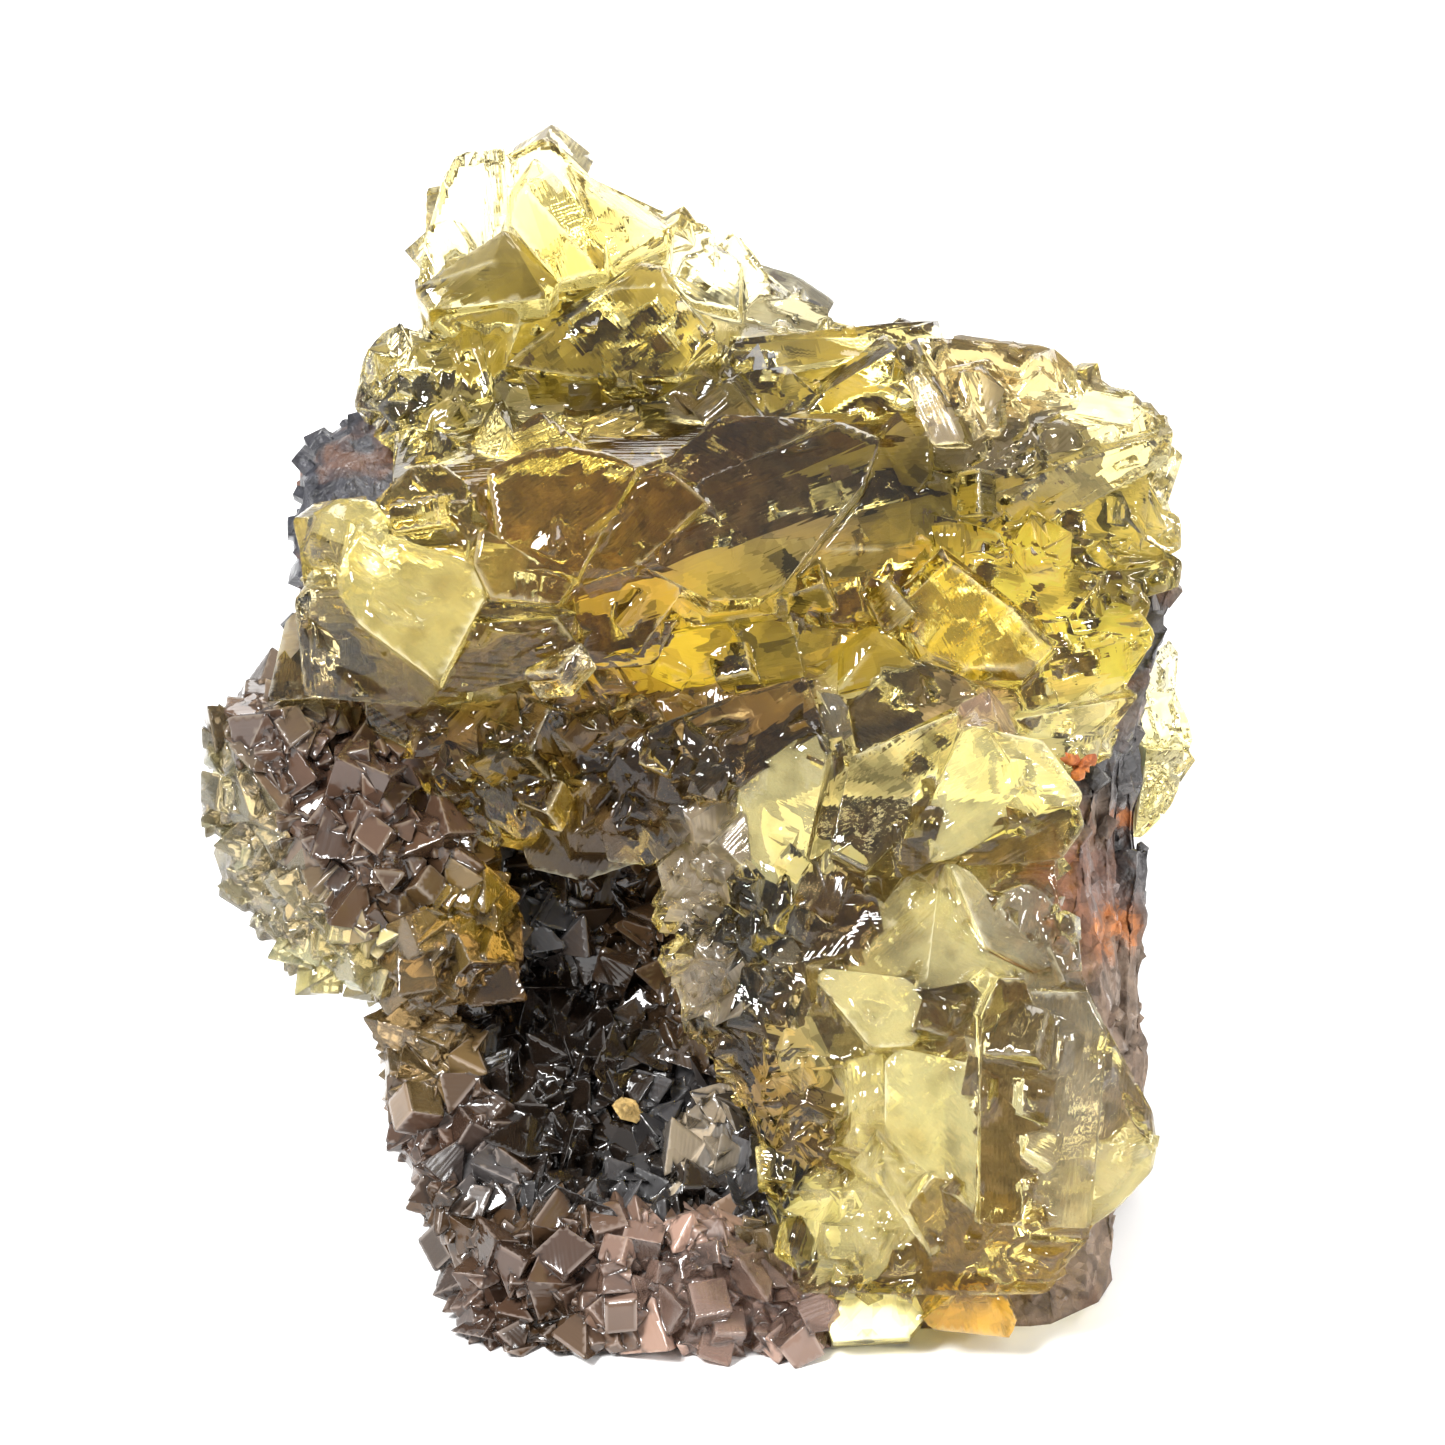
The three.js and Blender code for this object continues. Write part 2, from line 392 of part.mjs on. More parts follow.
const RIDGE = [
  // The blade and the brown roof above it
  { face: [[4.8, 38.2], [6, 38.4], [6.7, 37.3], [4.2, 25.6], [2.5, 27.5], [0.8, 31.2], [1.2, 35.6]],
    out: 7, tilt: [0.3, 0.05], deep: 8 },
  { face: [[-4.8, 38.7], [0.8, 40.9], [5.3, 42.1], [6.6, 38.6], [1.2, 35.4], [-3, 36]],
    out: 6.2, tilt: [0, -0.35], deep: 7 },
  // The frosted flank that falls to the hollow, from the blade down
  { face: [[-1.3, 36.4], [1.4, 36.2], [0.8, 28.8], [-1.6, 30.3], [-1.5, 33.5]],
    out: 4.8, tilt: [0.5, 0], deep: 7 },
  { face: [[-4, 30.2], [-2.2, 31.6], [0.8, 31.2], [1, 27.2], [-1, 25.8], [-3.2, 27.3]],
    out: 3.6, tilt: [0.4, 0.3], deep: 7 },
  { face: [[-3.9, 28.2], [1, 27.8], [2.2, 23.8], [-1.8, 23.7]],
    out: 4.8, tilt: [0.5, -0.2], deep: 7 },
  { face: [[0.4, 29.4], [4.9, 27.4], [6, 24], [1.6, 23.2]],
    out: 6.6, tilt: [0.2, 0.2], deep: 7 },
  { face: [[-3.3, 24.6], [1.9, 24.2], [1.8, 20.2], [-1.9, 19.8]], out: 5, tilt: [0.4, 0.3], deep: 7 },
  { face: [[1.4, 24.2], [6.1, 24.2], [6.2, 22], [3.6, 19.6], [0.4, 20.4]], out: 7.4, tilt: [0.2, -0.2], deep: 7 },
  { face: [[-2.1, 20.8], [1.4, 21], [4.4, 17.4], [4.2, 14.8], [1.5, 15.2]], out: 6, tilt: [0.5, 0.2] },
  { face: [[1.4, 15.8], [4.4, 15.6], [5.4, 12.2], [3.4, 10.8]], out: 6.2, tilt: [0.3, -0.1] },
];

const BROWN_SHELF = [
  // Smoky crystals between the amber group and the hollow, which they overhang
  { face: [[-15.1, 37.8], [-15.2, 39.6], [-13.2, 41.1], [-12.1, 40.9], [-9.6, 38], [-14.8, 36.2]],
    out: 4.8, tilt: [0.1, -0.3], deep: 7, ridge: [[-12.4, 38.6, 0.9]] },
  { face: [[-12.8, 42], [-10.4, 42.4], [-8.6, 38.2], [-10.6, 38.2], [-12.4, 40.4]],
    out: 4.4, tilt: [0.2, -0.1] },
  { face: [[-10.4, 42.2], [-8.8, 43.3], [-7.2, 42.2], [-6.9, 39.4], [-8.5, 38.5]],
    out: 4.9, tilt: [0, -0.2] },
  { face: [[-9, 38.4], [-4.4, 39.6], [-4.8, 36.6], [-7.8, 35], [-9.2, 36.8]], out: 5.2, tilt: [0, 0.2] },
  { face: [[-15.2, 35.4], [-12, 36.6], [-9.8, 35.8], [-10, 33.4], [-12.3, 31.7], [-14.8, 33.4]],
    out: 4.8, tilt: [0, 0.2] },
  { face: [[-8.2, 35.8], [-6, 36.6], [-3, 36.6], [-0.8, 35.4], [-1.6, 32.4], [-4.2, 30.2], [-7, 30.4]],
    out: 3.8, tilt: [0.1, 0.3] },
  { face: [[-19.4, 38.4], [-17.6, 40.2], [-15.4, 39.9], [-14.8, 37.2], [-16.4, 35.6], [-18, 35.9]],
    out: 4.6, tilt: [0, 0], ridge: [[-17, 38.2, 0.8]] },
  { face: [[-17.4, 36.2], [-14.6, 36], [-12.8, 33.8], [-14.2, 31.3], [-17.6, 33.4]],
    out: 3.6, tilt: [0.1, 0.3] },
  { face: [[-22.2, 41.4], [-18, 40.9], [-17.2, 39.9], [-19.6, 37.6], [-22, 38.8]], out: 4.6, tilt: [0, 0.2] },
  { face: [[-12.6, 32.4], [-10.2, 34], [-8, 34], [-4.4, 30.6], [-8.6, 29.2], [-12, 30]],
    out: 1.6, tilt: [0, 0.5] },
];

// Flat sheets stacked above each other on the left, under the glowing lump. Each is one step lower,
// further right and further out than the one above it.

const SHEETS = {
  count: 3, left: -20.9, right: -15.1, top: 59.6, out: -3, thick: 1.4, step: [0.3, -1.25, 1],
  rise: 0.2, flare: 0.3, inset: 0.8, dip: 0.4, tilt: [0.1, -0.3],
};

/** The outlines of the sheets. */
function sheetPile() {
  const { left, right, thick, rise, flare, inset, dip, tilt } = SHEETS;
  return Array.from({ length: SHEETS.count }, (_, index) => {
    const [shift, drop, out] = SHEETS.step.map((value) => value * index);
    const top = SHEETS.top + drop;
    return {
      face: [[left + shift, top], [right, top + rise], [right + flare, top - thick],
        [left + inset + shift, top - thick - dip]],
      out: SHEETS.out + out,
      tilt,
    };
  });
}

const BACK_CRYSTALS = [
  { face: [[28, 43.4], [29.3, 44.6], [29.9, 43.8], [29.7, 41], [28.6, 39.5], [26, 40], [26.4, 41.8]],
    out: -18, tilt: [-0.3, -0.2], deep: 6 },
  { face: [[26, 41], [29.6, 41.2], [30.6, 39.2], [30.9, 38], [30.2, 37], [28, 36.4], [25.4, 37.3]],
    out: -17.2, tilt: [-0.35, 0], deep: 7 },
  { face: [[25.2, 37.6], [30.2, 37.4], [30, 36], [29.7, 34.4], [29.1, 33.4], [27.3, 31.6], [26, 32],
    [25, 33.2]], out: -16.6, tilt: [-0.3, 0.25], deep: 7 },
];

// Crystals on the far side of the top, which close it behind
const REAR_CRYSTALS = [
  { face: [[-17.4, 66.6], [-17.2, 71], [-14.4, 74.4], [-12.6, 72], [-13, 67], [-15, 65]],
    out: -13, tilt: [-0.3, 0.3], deep: 6.5 },
  { face: [[-14.4, 69], [-14, 74.6], [-11.6, 76], [-8.8, 73.8], [-9.4, 69.4], [-11.6, 67]],
    out: -13.2, tilt: [0.1, 0.35], deep: 7 },
  { face: [[-10.6, 66], [-9.8, 72], [-6, 71.6], [-3.2, 70], [-4.4, 65.4], [-8, 64]],
    out: -12.8, tilt: [0.2, 0.15], deep: 6 },
  { face: [[-5, 64], [-4, 69.4], [-0.6, 69], [0.6, 66.4], [-1, 63]], out: -12.2, tilt: [0.35, 0.3], deep: 6.5 },
  { face: [[-0.6, 62.6], [0.2, 67.2], [4, 66], [6.4, 64.4], [5, 61.6]], out: -11.6, tilt: [0.2, 0.4], deep: 6 },
  { face: [[13, 58], [14.6, 62.4], [20.6, 61.6], [22.4, 59.4], [19, 57]], out: -9.6, tilt: [0.1, 0.35], deep: 6 },
  { face: [[20, 55], [21.4, 59.6], [26.4, 58], [27, 54.8], [23.4, 53.6]], out: -10, tilt: [0.4, 0.2], deep: 6 },
];

// The rock

// Up the display face, how far the rock reaches left, right, forward and back
const ROCK_RINGS = [
  { up: -10, left: -13, right: 17, front: -4, back: -27 },
  { up: 3, left: -15.5, right: 21, front: -5, back: -27 },
  { up: 12, left: -17, right: 26.8, front: -8, back: -26.5 },
  { up: 22, left: -18.5, right: 26.5, front: -10.5, back: -25.5 },
  { up: 30, left: -21, right: 27, front: -9, back: -25 },
  { up: 36, left: -24, right: 26.7, front: -3, back: -24 },
  { up: 42, left: -27, right: 27.2, front: -1, back: -23 },
  { up: 47, left: -27.6, right: 29.2, front: -0.5, back: -22 },
  { up: 52, left: -27.3, right: 27, front: -2.5, back: -21 },
  { up: 56, left: -26, right: 23, front: -5.5, back: -19.5 },
  { up: 60, left: -21.8, right: 16, front: -9, back: -19 },
  { up: 64, left: -17.5, right: 5, front: -10, back: -18.5 },
  { up: 67, left: -15, right: -3, front: -10.5, back: -18 },
];
const ROCK_MIDDLE_OUT = -14;
const ROCK_STEP = 5.5;
const ROCK_SIDES = 17;
const ROCK_SQUARENESS = 0.62;
const ROCK_ROUGHNESS = 1.5;
const ROCK_SEED = 11;

// Blocks of the same rock under the lower mass and along the front of the bottom
const ROCK_SHOULDER = [
  [3, -8, 3], [20, -8, 3], [25, 6, -2], [24.5, 20, -2], [23, 33, -1], [17, 36, 0], [7, 36, 0], [3, 24, -1],
  [4, 12, 1], [3, -8, -14], [24, -8, -14], [25.5, 30, -14], [6, 34, -14],
];
const ROCK_SILL = [
  [-13, -8, 3.5], [14, -8, 3.5], [15, 3, 2.5], [-13, 3, 1.5], [-15.5, 8, -3], [14, 8, -1], [-15.5, -8, -14],
  [16, -8, -14], [-15, 12, -12], [16, 12, -12],
];

// Upright layers that stand out of the right side of the rock
const LEDGES = [
  { low: [25.2, 9, -9], high: [27, 31, -12], wide: 1.9, deep: 3.2 },
  { low: [26.6, 14, -13], high: [26.6, 41, -14.5], wide: 1.7, deep: 2.6 },
  { low: [24.2, 22, -6], high: [25.4, 40, -8], wide: 1.8, deep: 3 },
  { low: [23, 24, -4], high: [24, 37, -5], wide: 1.6, deep: 3.4 },
  { low: [26, 38, -10], high: [29, 48, -11], wide: 1.6, deep: 3 },
];

/** The value of one measure of the rings at a height, straight between the two nearest. */
function ringAt(up, measure) {
  const above = Math.max(1, ROCK_RINGS.findIndex((ring) => ring.up >= up));
  const low = ROCK_RINGS[above - 1];
  const high = ROCK_RINGS[above];
  const share = (up - low.up) / (high.up - low.up);
  return low[measure] + share * (high[measure] - low[measure]);
}

/** The solid of a list of points and of the corners of its faces. */
function solidOf(points, index) {
  const geometry = new THREE.BufferGeometry().setFromPoints(points);
  geometry.setIndex(index);
  return toSolid(geometry);
}

/** The rough body of the rock, larger all round by the seam for cutting its neighbours. */
function rockBody(seam) {
  const random = numbers(ROCK_SEED);
  const squared = (value) => Math.sign(value) * Math.abs(value) ** ROCK_SQUARENESS;
  const first = ROCK_RINGS[0].up;
  const last = ROCK_RINGS[ROCK_RINGS.length - 1].up;
  const rows = Math.round((last - first) / ROCK_STEP);
  const points = [];
  for (let row = 0; row <= rows; row += 1) {
    const up = first + (last - first) * (row / rows);
    const [left, right, front, back] = ['left', 'right', 'front', 'back'].map((side) => ringAt(up, side));
    const lift = row === rows ? seam : 0;
    for (let side = 0; side < ROCK_SIDES; side += 1) {
      const angle = (side / ROCK_SIDES) * 2 * Math.PI;
      const extra = (random() - 0.5) * 2 * ROCK_ROUGHNESS + seam;
      const across = (left + right) / 2 + ((right - left) / 2 + extra) * squared(Math.cos(angle));
      const out = (front + back) / 2 + ((front - back) / 2 + extra) * squared(Math.sin(angle));
      points.push(place(across, up + lift, out));
    }
  }
  const lowMiddle = points.length;
  points.push(place(0, first, ROCK_MIDDLE_OUT));
  points.push(place((ringAt(last, 'left') + ringAt(last, 'right')) / 2, last + seam, ROCK_MIDDLE_OUT));
  const index = [];
  for (let side = 0; side < ROCK_SIDES; side += 1) {
    const next = (side + 1) % ROCK_SIDES;
    for (let row = 0; row < rows; row += 1) {
      const low = row * ROCK_SIDES;
      const high = low + ROCK_SIDES;
      index.push(low + side, high + next, low + next, low + side, high + side, high + next);
    }
    index.push(lowMiddle, side, next);
    index.push(lowMiddle + 1, rows * ROCK_SIDES + next, rows * ROCK_SIDES + side);
  }
  return solidOf(points, index);
}

/** Points moved away from their middle by the seam along each axis. */
function swollen(points, seam) {
  const middle = [0, 1, 2].map((axis) => points.reduce((sum, point) => sum + point[axis], 0) / points.length);
  return points.map((point) => point.map((value, axis) => value + Math.sign(value - middle[axis]) * seam));
}

// How far a layer goes into the rock and how far its middle stands out, in its own widths
const LEDGE_ROOT = 2;
const LEDGE_NOSE = 0.4;

/** One upright layer of the rock's side. */
function ledge({ low, high, wide, deep }, seam) {
  const corners = [];
  for (const [across, up, out] of [low, high]) {
    corners.push([across - wide * LEDGE_ROOT, up, out], [across, up, out]);
    corners.push([across + wide * LEDGE_NOSE, up, out - deep / 2]);
    corners.push([across, up, out - deep], [across - wide * LEDGE_ROOT, up, out - deep]);
  }
  return block(swollen(corners, seam));
}

/** Everything below the flat cut that the specimen stands on. */
function ground() {
  const geometry = new THREE.BoxGeometry(SAW_BLOCK, SAW_BLOCK, SAW_BLOCK);
  geometry.translate(0, 0, BASE_CUT_HEIGHT - SAW_BLOCK / 2);
  return toSolid(geometry);
}

/** The whole rock before the seat of the fluorite and the hollow are taken out of it. */
function rockMass(seam) {
  return join([
    rockBody(seam),
    block(swollen(ROCK_SHOULDER, seam)),
    block(swollen(ROCK_SILL, seam)),
    ...LEDGES.map((layer) => ledge(layer, seam)),
  ]);
}

// Sheets that follow the display face

const CLEAR_OF_EVERYTHING = 45;

/**
 * A closed sheet over rows up the display face. Each row has a left and a right edge, and how far out
 * the sheet lies at even steps between them. The sheet fills the room between two distances from it.
 */
function sheet(rows, nearer, farther, widen = 0) {
  const columns = rows[0].outs.length;
  const count = rows.length * columns;
  const points = [nearer, farther].flatMap((offset) => rows.flatMap(({ up, left, right, outs }, row) => {
    const end = row === 0 ? -widen : widen * (row === rows.length - 1);
    return outs.map((out, column) => place(
      left - widen + (right - left + 2 * widen) * (column / (columns - 1)), up + end, out + offset));
  }));
  const index = [];
  const quad = (a, b, c, d) => index.push(a, b, c, a, c, d);
  for (let row = 0; row < rows.length - 1; row += 1) {
    const left = row * columns;
    const right = left + columns - 1;
    for (let corner = left; corner < right; corner += 1) {
      const back = count + corner;
      quad(corner, corner + 1, corner + columns + 1, corner + columns);
      quad(back, back + columns, back + columns + 1, back + 1);
    }
    quad(left, left + columns, count + left + columns, count + left);
    quad(right, count + right, count + right + columns, right + columns);
  }
  const top = (rows.length - 1) * columns;
  for (let column = 0; column < columns - 1; column += 1) {
    quad(column, count + column, count + column + 1, column + 1);
    quad(top + column, top + column + 1, count + top + column + 1, count + top + column);
  }
  return solidOf(points, index);
}

// Where the front fluorite sits on the rock
const SEAT = [
  { up: 3.9, left: 5, right: 20.2, outs: [3, 4, 5, 5, 4] },
  { up: 10, left: 4, right: 24.5, outs: [1, 3, 5, 5, 2] },
  { up: 16, left: 2.5, right: 25.5, outs: [0, 3, 5, 4, 0] },
  { up: 21, left: 0, right: 23.6, outs: [-1, 3, 5, 4, 1] },
  { up: 26, left: -1, right: 21.4, outs: [-2, 2, 3, 3, 1] },
  { up: 30, left: -2, right: 20.8, outs: [-2, 0, 2, 2, 1] },
  { up: 34, left: -13.5, right: 21.5, outs: [-3, -2, 0, 2, 0] },
  { up: 38, left: -18.5, right: 23, outs: [-2, -2, 0, 0, -3] },
  { up: 42, left: -24, right: 25.4, outs: [-1, 0, -1.5, -2.5, -5.5] },
  { up: 46, left: -25.4, right: 26.4, outs: [0, 2, -1.5, -3.5, -7.5] },
  { up: 50, left: -24.8, right: 27.8, outs: [0, 2, -1, -4.5, -10] },
  { up: 54, left: -20.5, right: 27.6, outs: [-2, 0, -3, -6, -11] },
  { up: 58, left: -20.5, right: 26.5, outs: [-7, -6, -5, -7, -10.6] },
  { up: 61, left: -21.8, right: 21.8, outs: [-9, -8, -8, -9, -11] },
  { up: 65, left: -18.2, right: 6.6, outs: [-12, -11, -10, -12, -13] },
  { up: 70, left: -17.8, right: 0.4, outs: [-14.5, -14.5, -14.5, -14.5, -14] },
  { up: 74.5, left: -16.6, right: -9, outs: [-15.5, -15.5, -15.5, -15.5, -15.5] },
];
const SEAT_THICKNESS = 5;

// The hollow's floor
const HOLLOW = [
  { up: 5, left: -12, right: 5, outs: [5, 3.6, 3, 3.6, 5] },
  { up: 8, left: -12.6, right: 4.6, outs: [3.6, 1.8, 1.2, 1.8, 3.6] },
  { up: 11, left: -13.6, right: 4, outs: [1.6, -0.2, -0.8, -0.2, 1.6] },
  { up: 14.5, left: -14.4, right: 3, outs: [-0.6, -2.4, -3, -2.4, -0.6] },
  { up: 18, left: -15.2, right: 1.6, outs: [-2.6, -4.4, -5, -4.4, -2.6] },
  { up: 22, left: -15.4, right: -0.6, outs: [-4.4, -6.2, -6.8, -6.2, -4.4] },
  { up: 26, left: -14, right: -1.4, outs: [-5.6, -7.4, -8, -7.4, -5.6] },
  { up: 30, left: -13, right: -2, outs: [-5.2, -7, -7.6, -7, -5.2] },
  { up: 33, left: -12, right: -3, outs: [-3.4, -5, -5.6, -5, -3.4] },
];
const CRUST_THICKNESS = 1.8;

/** The place of a share of the way along and up the rows of a sheet. */
function onSheet(rows, acrossShare, upShare) {
  const between = (low, high, share) => low + share * (high - low);
  const cellOf = (share, cells) => Math.min(Math.floor(share * cells), cells - 1);
  const row = cellOf(upShare, rows.length - 1);
  const rowPart = upShare * (rows.length - 1) - row;
  const [low, high] = [rows[row], rows[row + 1]];
  const column = cellOf(acrossShare, low.outs.length - 1);
  const columnPart = acrossShare * (low.outs.length - 1) - column;
  const outOf = ({ outs }) => between(outs[column], outs[column + 1], columnPart);
  return [
    between(between(low.left, low.right, acrossShare), between(high.left, high.right, acrossShare), rowPart),
    between(low.up, high.up, rowPart),
    between(outOf(low), outOf(high), rowPart),
  ];
}

// Small crystals

// A cube's corner is a three-sided point whose height is this share of its base's radius
const CUBE_CORNER = 0.7071;
const FULL_TURN = 2 * Math.PI;
// How strongly small sizes are favoured, and the least share of a raise that a raised point gets
const MOSTLY_SMALL = 1.8;
const LEAST_RAISE = 0.4;

/** A three-sided crystal tip that stands on a point along the normal, with its root below it. */
function tip(foot, normal, radius, height, spin) {
  const side = new THREE.Vector3(1, 0, 0).cross(normal).normalize();
  const ring = [0, 1, 2].map((corner) => foot.clone()
    .addScaledVector(side.clone().applyAxisAngle(normal, spin + (corner * FULL_TURN) / 3), radius));
  const ends = [height, -height].map((reach) => foot.clone().addScaledVector(normal, reach));
  return toSolid(new ConvexGeometry([...ring, ...ends]));
}

/** A length between the smallest and largest, mostly small. */
function someSize(random, [smallest, largest]) {
  return smallest + (largest - smallest) * random() ** MOSTLY_SMALL;
}

/** How far one point of a druse is raised: not at all, or by about the raise as a crystal's tip. */
function someRaise(random, { share, raise }) {
  return random() < share ? raise * (LEAST_RAISE + random()) : 0;
}

/** The rows of a sheet drawn finer, with some of their points raised as crystal tips. */
function druseRows(rows, druse) {
  const { across, up, sway, seed } = druse;
  const random = numbers(seed);
  return Array.from({ length: up + 1 }, (_, row) => {
    const places = Array.from({ length: across + 1 }, (__, column) => onSheet(rows, column / across, row / up));
    const shift = (random() - 0.5) * sway;
    return {
      up: places[0][1] + (random() - 0.5) * sway,
      left: places[0][0] + shift,
      right: places[across][0] + shift,
      outs: places.map(([, , out]) => out + someRaise(random, druse)),
    };
  });
}

const HOLLOW_DRUSE = { across: 6, up: 8, share: 0.42, raise: 1.7, sway: 0.6, seed: 3 };
const HOLLOW_TIPS = { count: 10, size: [1.5, 2.6], slim: 1.7, lean: 0.6, margin: 0.1, lift: 0.3, seed: 8 };

/** Large crystals spread over the floor of the hollow. */
function hollowTips() {
  const { count, size, slim, lean, margin, lift, seed } = HOLLOW_TIPS;
  const random = numbers(seed);
  const inside = () => margin + (1 - 2 * margin) * random();
  const either = (reach) => (2 * random() - 1) * reach;
  return Array.from({ length: count }, () => {
    const share = inside();
    const foot = place(...onSheet(HOLLOW, share, inside()));
    const normal = place(either(lean) - (share - 0.5), lift + either(lean), 1).normalize();
    const radius = someSize(random, size);
    return tip(foot, normal, radius, radius * slim, random() * FULL_TURN);
  });
}

// The knob of small smoky crystals on the left

const KNOB_LUMPS = [
  { middle: [-26.8, 36, -2.5], reach: [4.8, 4.6, 5.5], detail: 2 },
  { middle: [-22.3, 31.4, -1.5], reach: [7, 7.4, 6], detail: 3 },
  { middle: [-18.6, 26.2, -1.5], reach: [4.9, 4.2, 5.4], detail: 2 },
];
const KNOB_DRUSE = { share: 0.4, raise: 1.35, sway: 0.35, seed: 5 };
const SMOOTH = { share: 0, raise: 0, sway: 0, seed: 1 };

/** A rounded lump stretched to its reach, with some of its corners raised as crystal tips. */
function lump({ middle, reach, detail = 0 }, druse, seam = 0) {
  const geometry = welded(new THREE.IcosahedronGeometry(1, detail));
  const random = numbers(druse.seed);
  const position = geometry.attributes.position;
  for (let index = 0; index < position.count; index += 1) {
    const lift = seam + someRaise(random, druse);
    const point = place(...middle.map((value, axis) => (
      value + (reach[axis] + lift) * position.getComponent(index, axis) + (random() - 0.5) * druse.sway)));
    position.setXYZ(index, point.x, point.y, point.z);
  }
  return toSolid(geometry);
}

/** The knob, larger all round by the seam for cutting its neighbours. */
function knob(seam = 0) {
  return join(KNOB_LUMPS.map((shape, index) => (
    lump(shape, { ...KNOB_DRUSE, seed: KNOB_DRUSE.seed + index }, seam))));
}

// The brown crust of the lower left slope and along the bottom

const LOWER_SLOPE = [
  { up: 0, left: -14.4, right: -9.5, outs: [3.2, 4.6, 5.2] },
  { up: 3.5, left: -16, right: -10.6, outs: [2.6, 4.4, 4.8] },
  { up: 7, left: -17.6, right: -11.8, outs: [0.6, 2.4, 3.2] },
  { up: 11, left: -18.7, right: -13.2, outs: [-1, 0.6, 1.6] },
  { up: 15.5, left: -19.9, right: -14.4, outs: [-2.6, -1, -0.2] },
  { up: 20, left: -20.7, right: -16, outs: [-3.6, -2.2, -1.8] },
];
const LOWER_BAND = [
  { up: 0.6, left: -12.5, right: 6.2, outs: [4.8, 5.4, 5.8, 6, 6] },
  { up: 3, left: -12.2, right: 6.2, outs: [4.6, 5.4, 5.8, 6, 5.8] },
  { up: 6, left: -11.8, right: 5, outs: [4.4, 5, 5, 5, 5.2] },
  { up: 8, left: -11.6, right: 3.4, outs: [3.6, 4, 3.6, 3.8, 4.6] },
];
const LOWER_DEPTH = 5;
const SLOPE_DRUSE = { across: 3, up: 8, share: 0.42, raise: 1.3, sway: 0.6, seed: 31 };
const BAND_DRUSE = { across: 9, up: 3, share: 0.42, raise: 1.2, sway: 0.6, seed: 37 };
const LOWER_ROUTE = [[-18.6, 16.6, -1.4], [-17, 12, 0.4], [-15.6, 6, 3], [-12.4, 3.6, 4.6], [-7, 4.2, 5],
  [-2, 4.8, 5.4], [2, 4.8, 5.5], [4.6, 3.6, 5.5]];
const LOWER_TIPS = { count: 12, size: [1.6, 2.6], spread: 1.2, lean: 0.6, seed: 23 };

/** Crystal tips along the lower crust, from the left slope to the right end of the bottom. */
function lowerTips(seam) {
  const curve = new THREE.CatmullRomCurve3(LOWER_ROUTE.map((point) => place(...point)));
  const { count, size, spread, lean, seed } = LOWER_TIPS;
  const random = numbers(seed);
  const either = (reach) => (2 * random() - 1) * reach;
  return Array.from({ length: count }, () => {
    const foot = curve.getPointAt(random()).add(place(either(spread), either(spread), 0));
    const normal = place(either(lean), either(lean), 1).normalize();
    const radius = someSize(random, size) + 2 * seam;
    return tip(foot, normal, radius, radius * CUBE_CORNER, random() * FULL_TURN);
  });
}

/** The whole lower crust, larger all round by the seam for cutting its neighbours. */
function lowerCrust(seam = 0) {
  const rough = [[LOWER_SLOPE, SLOPE_DRUSE], [LOWER_BAND, BAND_DRUSE]];
  return join([
    ...rough.map(([rows, druse]) => sheet(druseRows(rows, druse), seam, -LOWER_DEPTH - seam, seam)),
    ...lowerTips(seam),
  ]);
}

// The iron oxide and the tan crystal

const OXIDE_LUMPS = [
  { middle: [21.9, 36.9, 3.2], reach: [0.8, 0.6, 1.1] },
  { middle: [22.7, 36.6, 2.9], reach: [0.75, 0.65, 1.1] },
  { middle: [22.4, 36, 3], reach: [0.6, 0.55, 1] },
  { middle: [23.2, 36.9, 2.6], reach: [0.5, 0.5, 0.9] },
];
const TAN_GRAIN = [
  [-6.9, 15.1, -1], [-6.2, 15.7, -1.2], [-5.3, 15.4, -1], [-4.7, 14.4, -0.8], [-5.2, 13.9, -0.6],
  [-6.3, 14.2, -0.4], [-5.8, 14.9, 0.1], [-6.6, 14.7, -3.4], [-5, 14.4, -3.4], [-5.8, 15.4, -3.4],
];

// The pieces

const FRONT_CRYSTALS = [
  ...TOP_CRYSTALS, ...OLIVE_ROW, ...UPPER_RIGHT, ...AMBER_GROUP, ...CENTRE, ...RIGHT_FLANK,
  ...LOWER_MASS, ...BOTTOM_ROW, ...RIDGE, ...BROWN_SHELF, ...sheetPile(),
];

const saw = ground();
const overHollow = sheet(HOLLOW, CLEAR_OF_EVERYTHING, -CRUST_THICKNESS);
const rock = rockMass(0)
  .subtract(sheet(SEAT, CLEAR_OF_EVERYTHING, -SEAM, SEAM))
  .subtract(sheet(HOLLOW, CLEAR_OF_EVERYTHING, -CRUST_THICKNESS - SEAM, SEAM))
  .subtract(saw);
const rockSeam = rockMass(SEAM)
  .subtract(sheet(SEAT, CLEAR_OF_EVERYTHING, -SEAM / 2, SEAM / 2))
  .subtract(overHollow)
  .add(saw);
const fluoriteSeam = join([
  ...[...FRONT_CRYSTALS, ...REAR_CRYSTALS].map((shape) => crystal(shape, SEAM)),
  sheet(SEAT, SEAT_THICKNESS + SEAM, -SEAM, SEAM),
]);
const oxideSeam = join(OXIDE_LUMPS.map((shape) => lump(shape, SMOOTH, SEAM)));
const grainSeam = block(swollen(TAN_GRAIN, SEAM));
const lowerSeam = lowerCrust(SEAM);

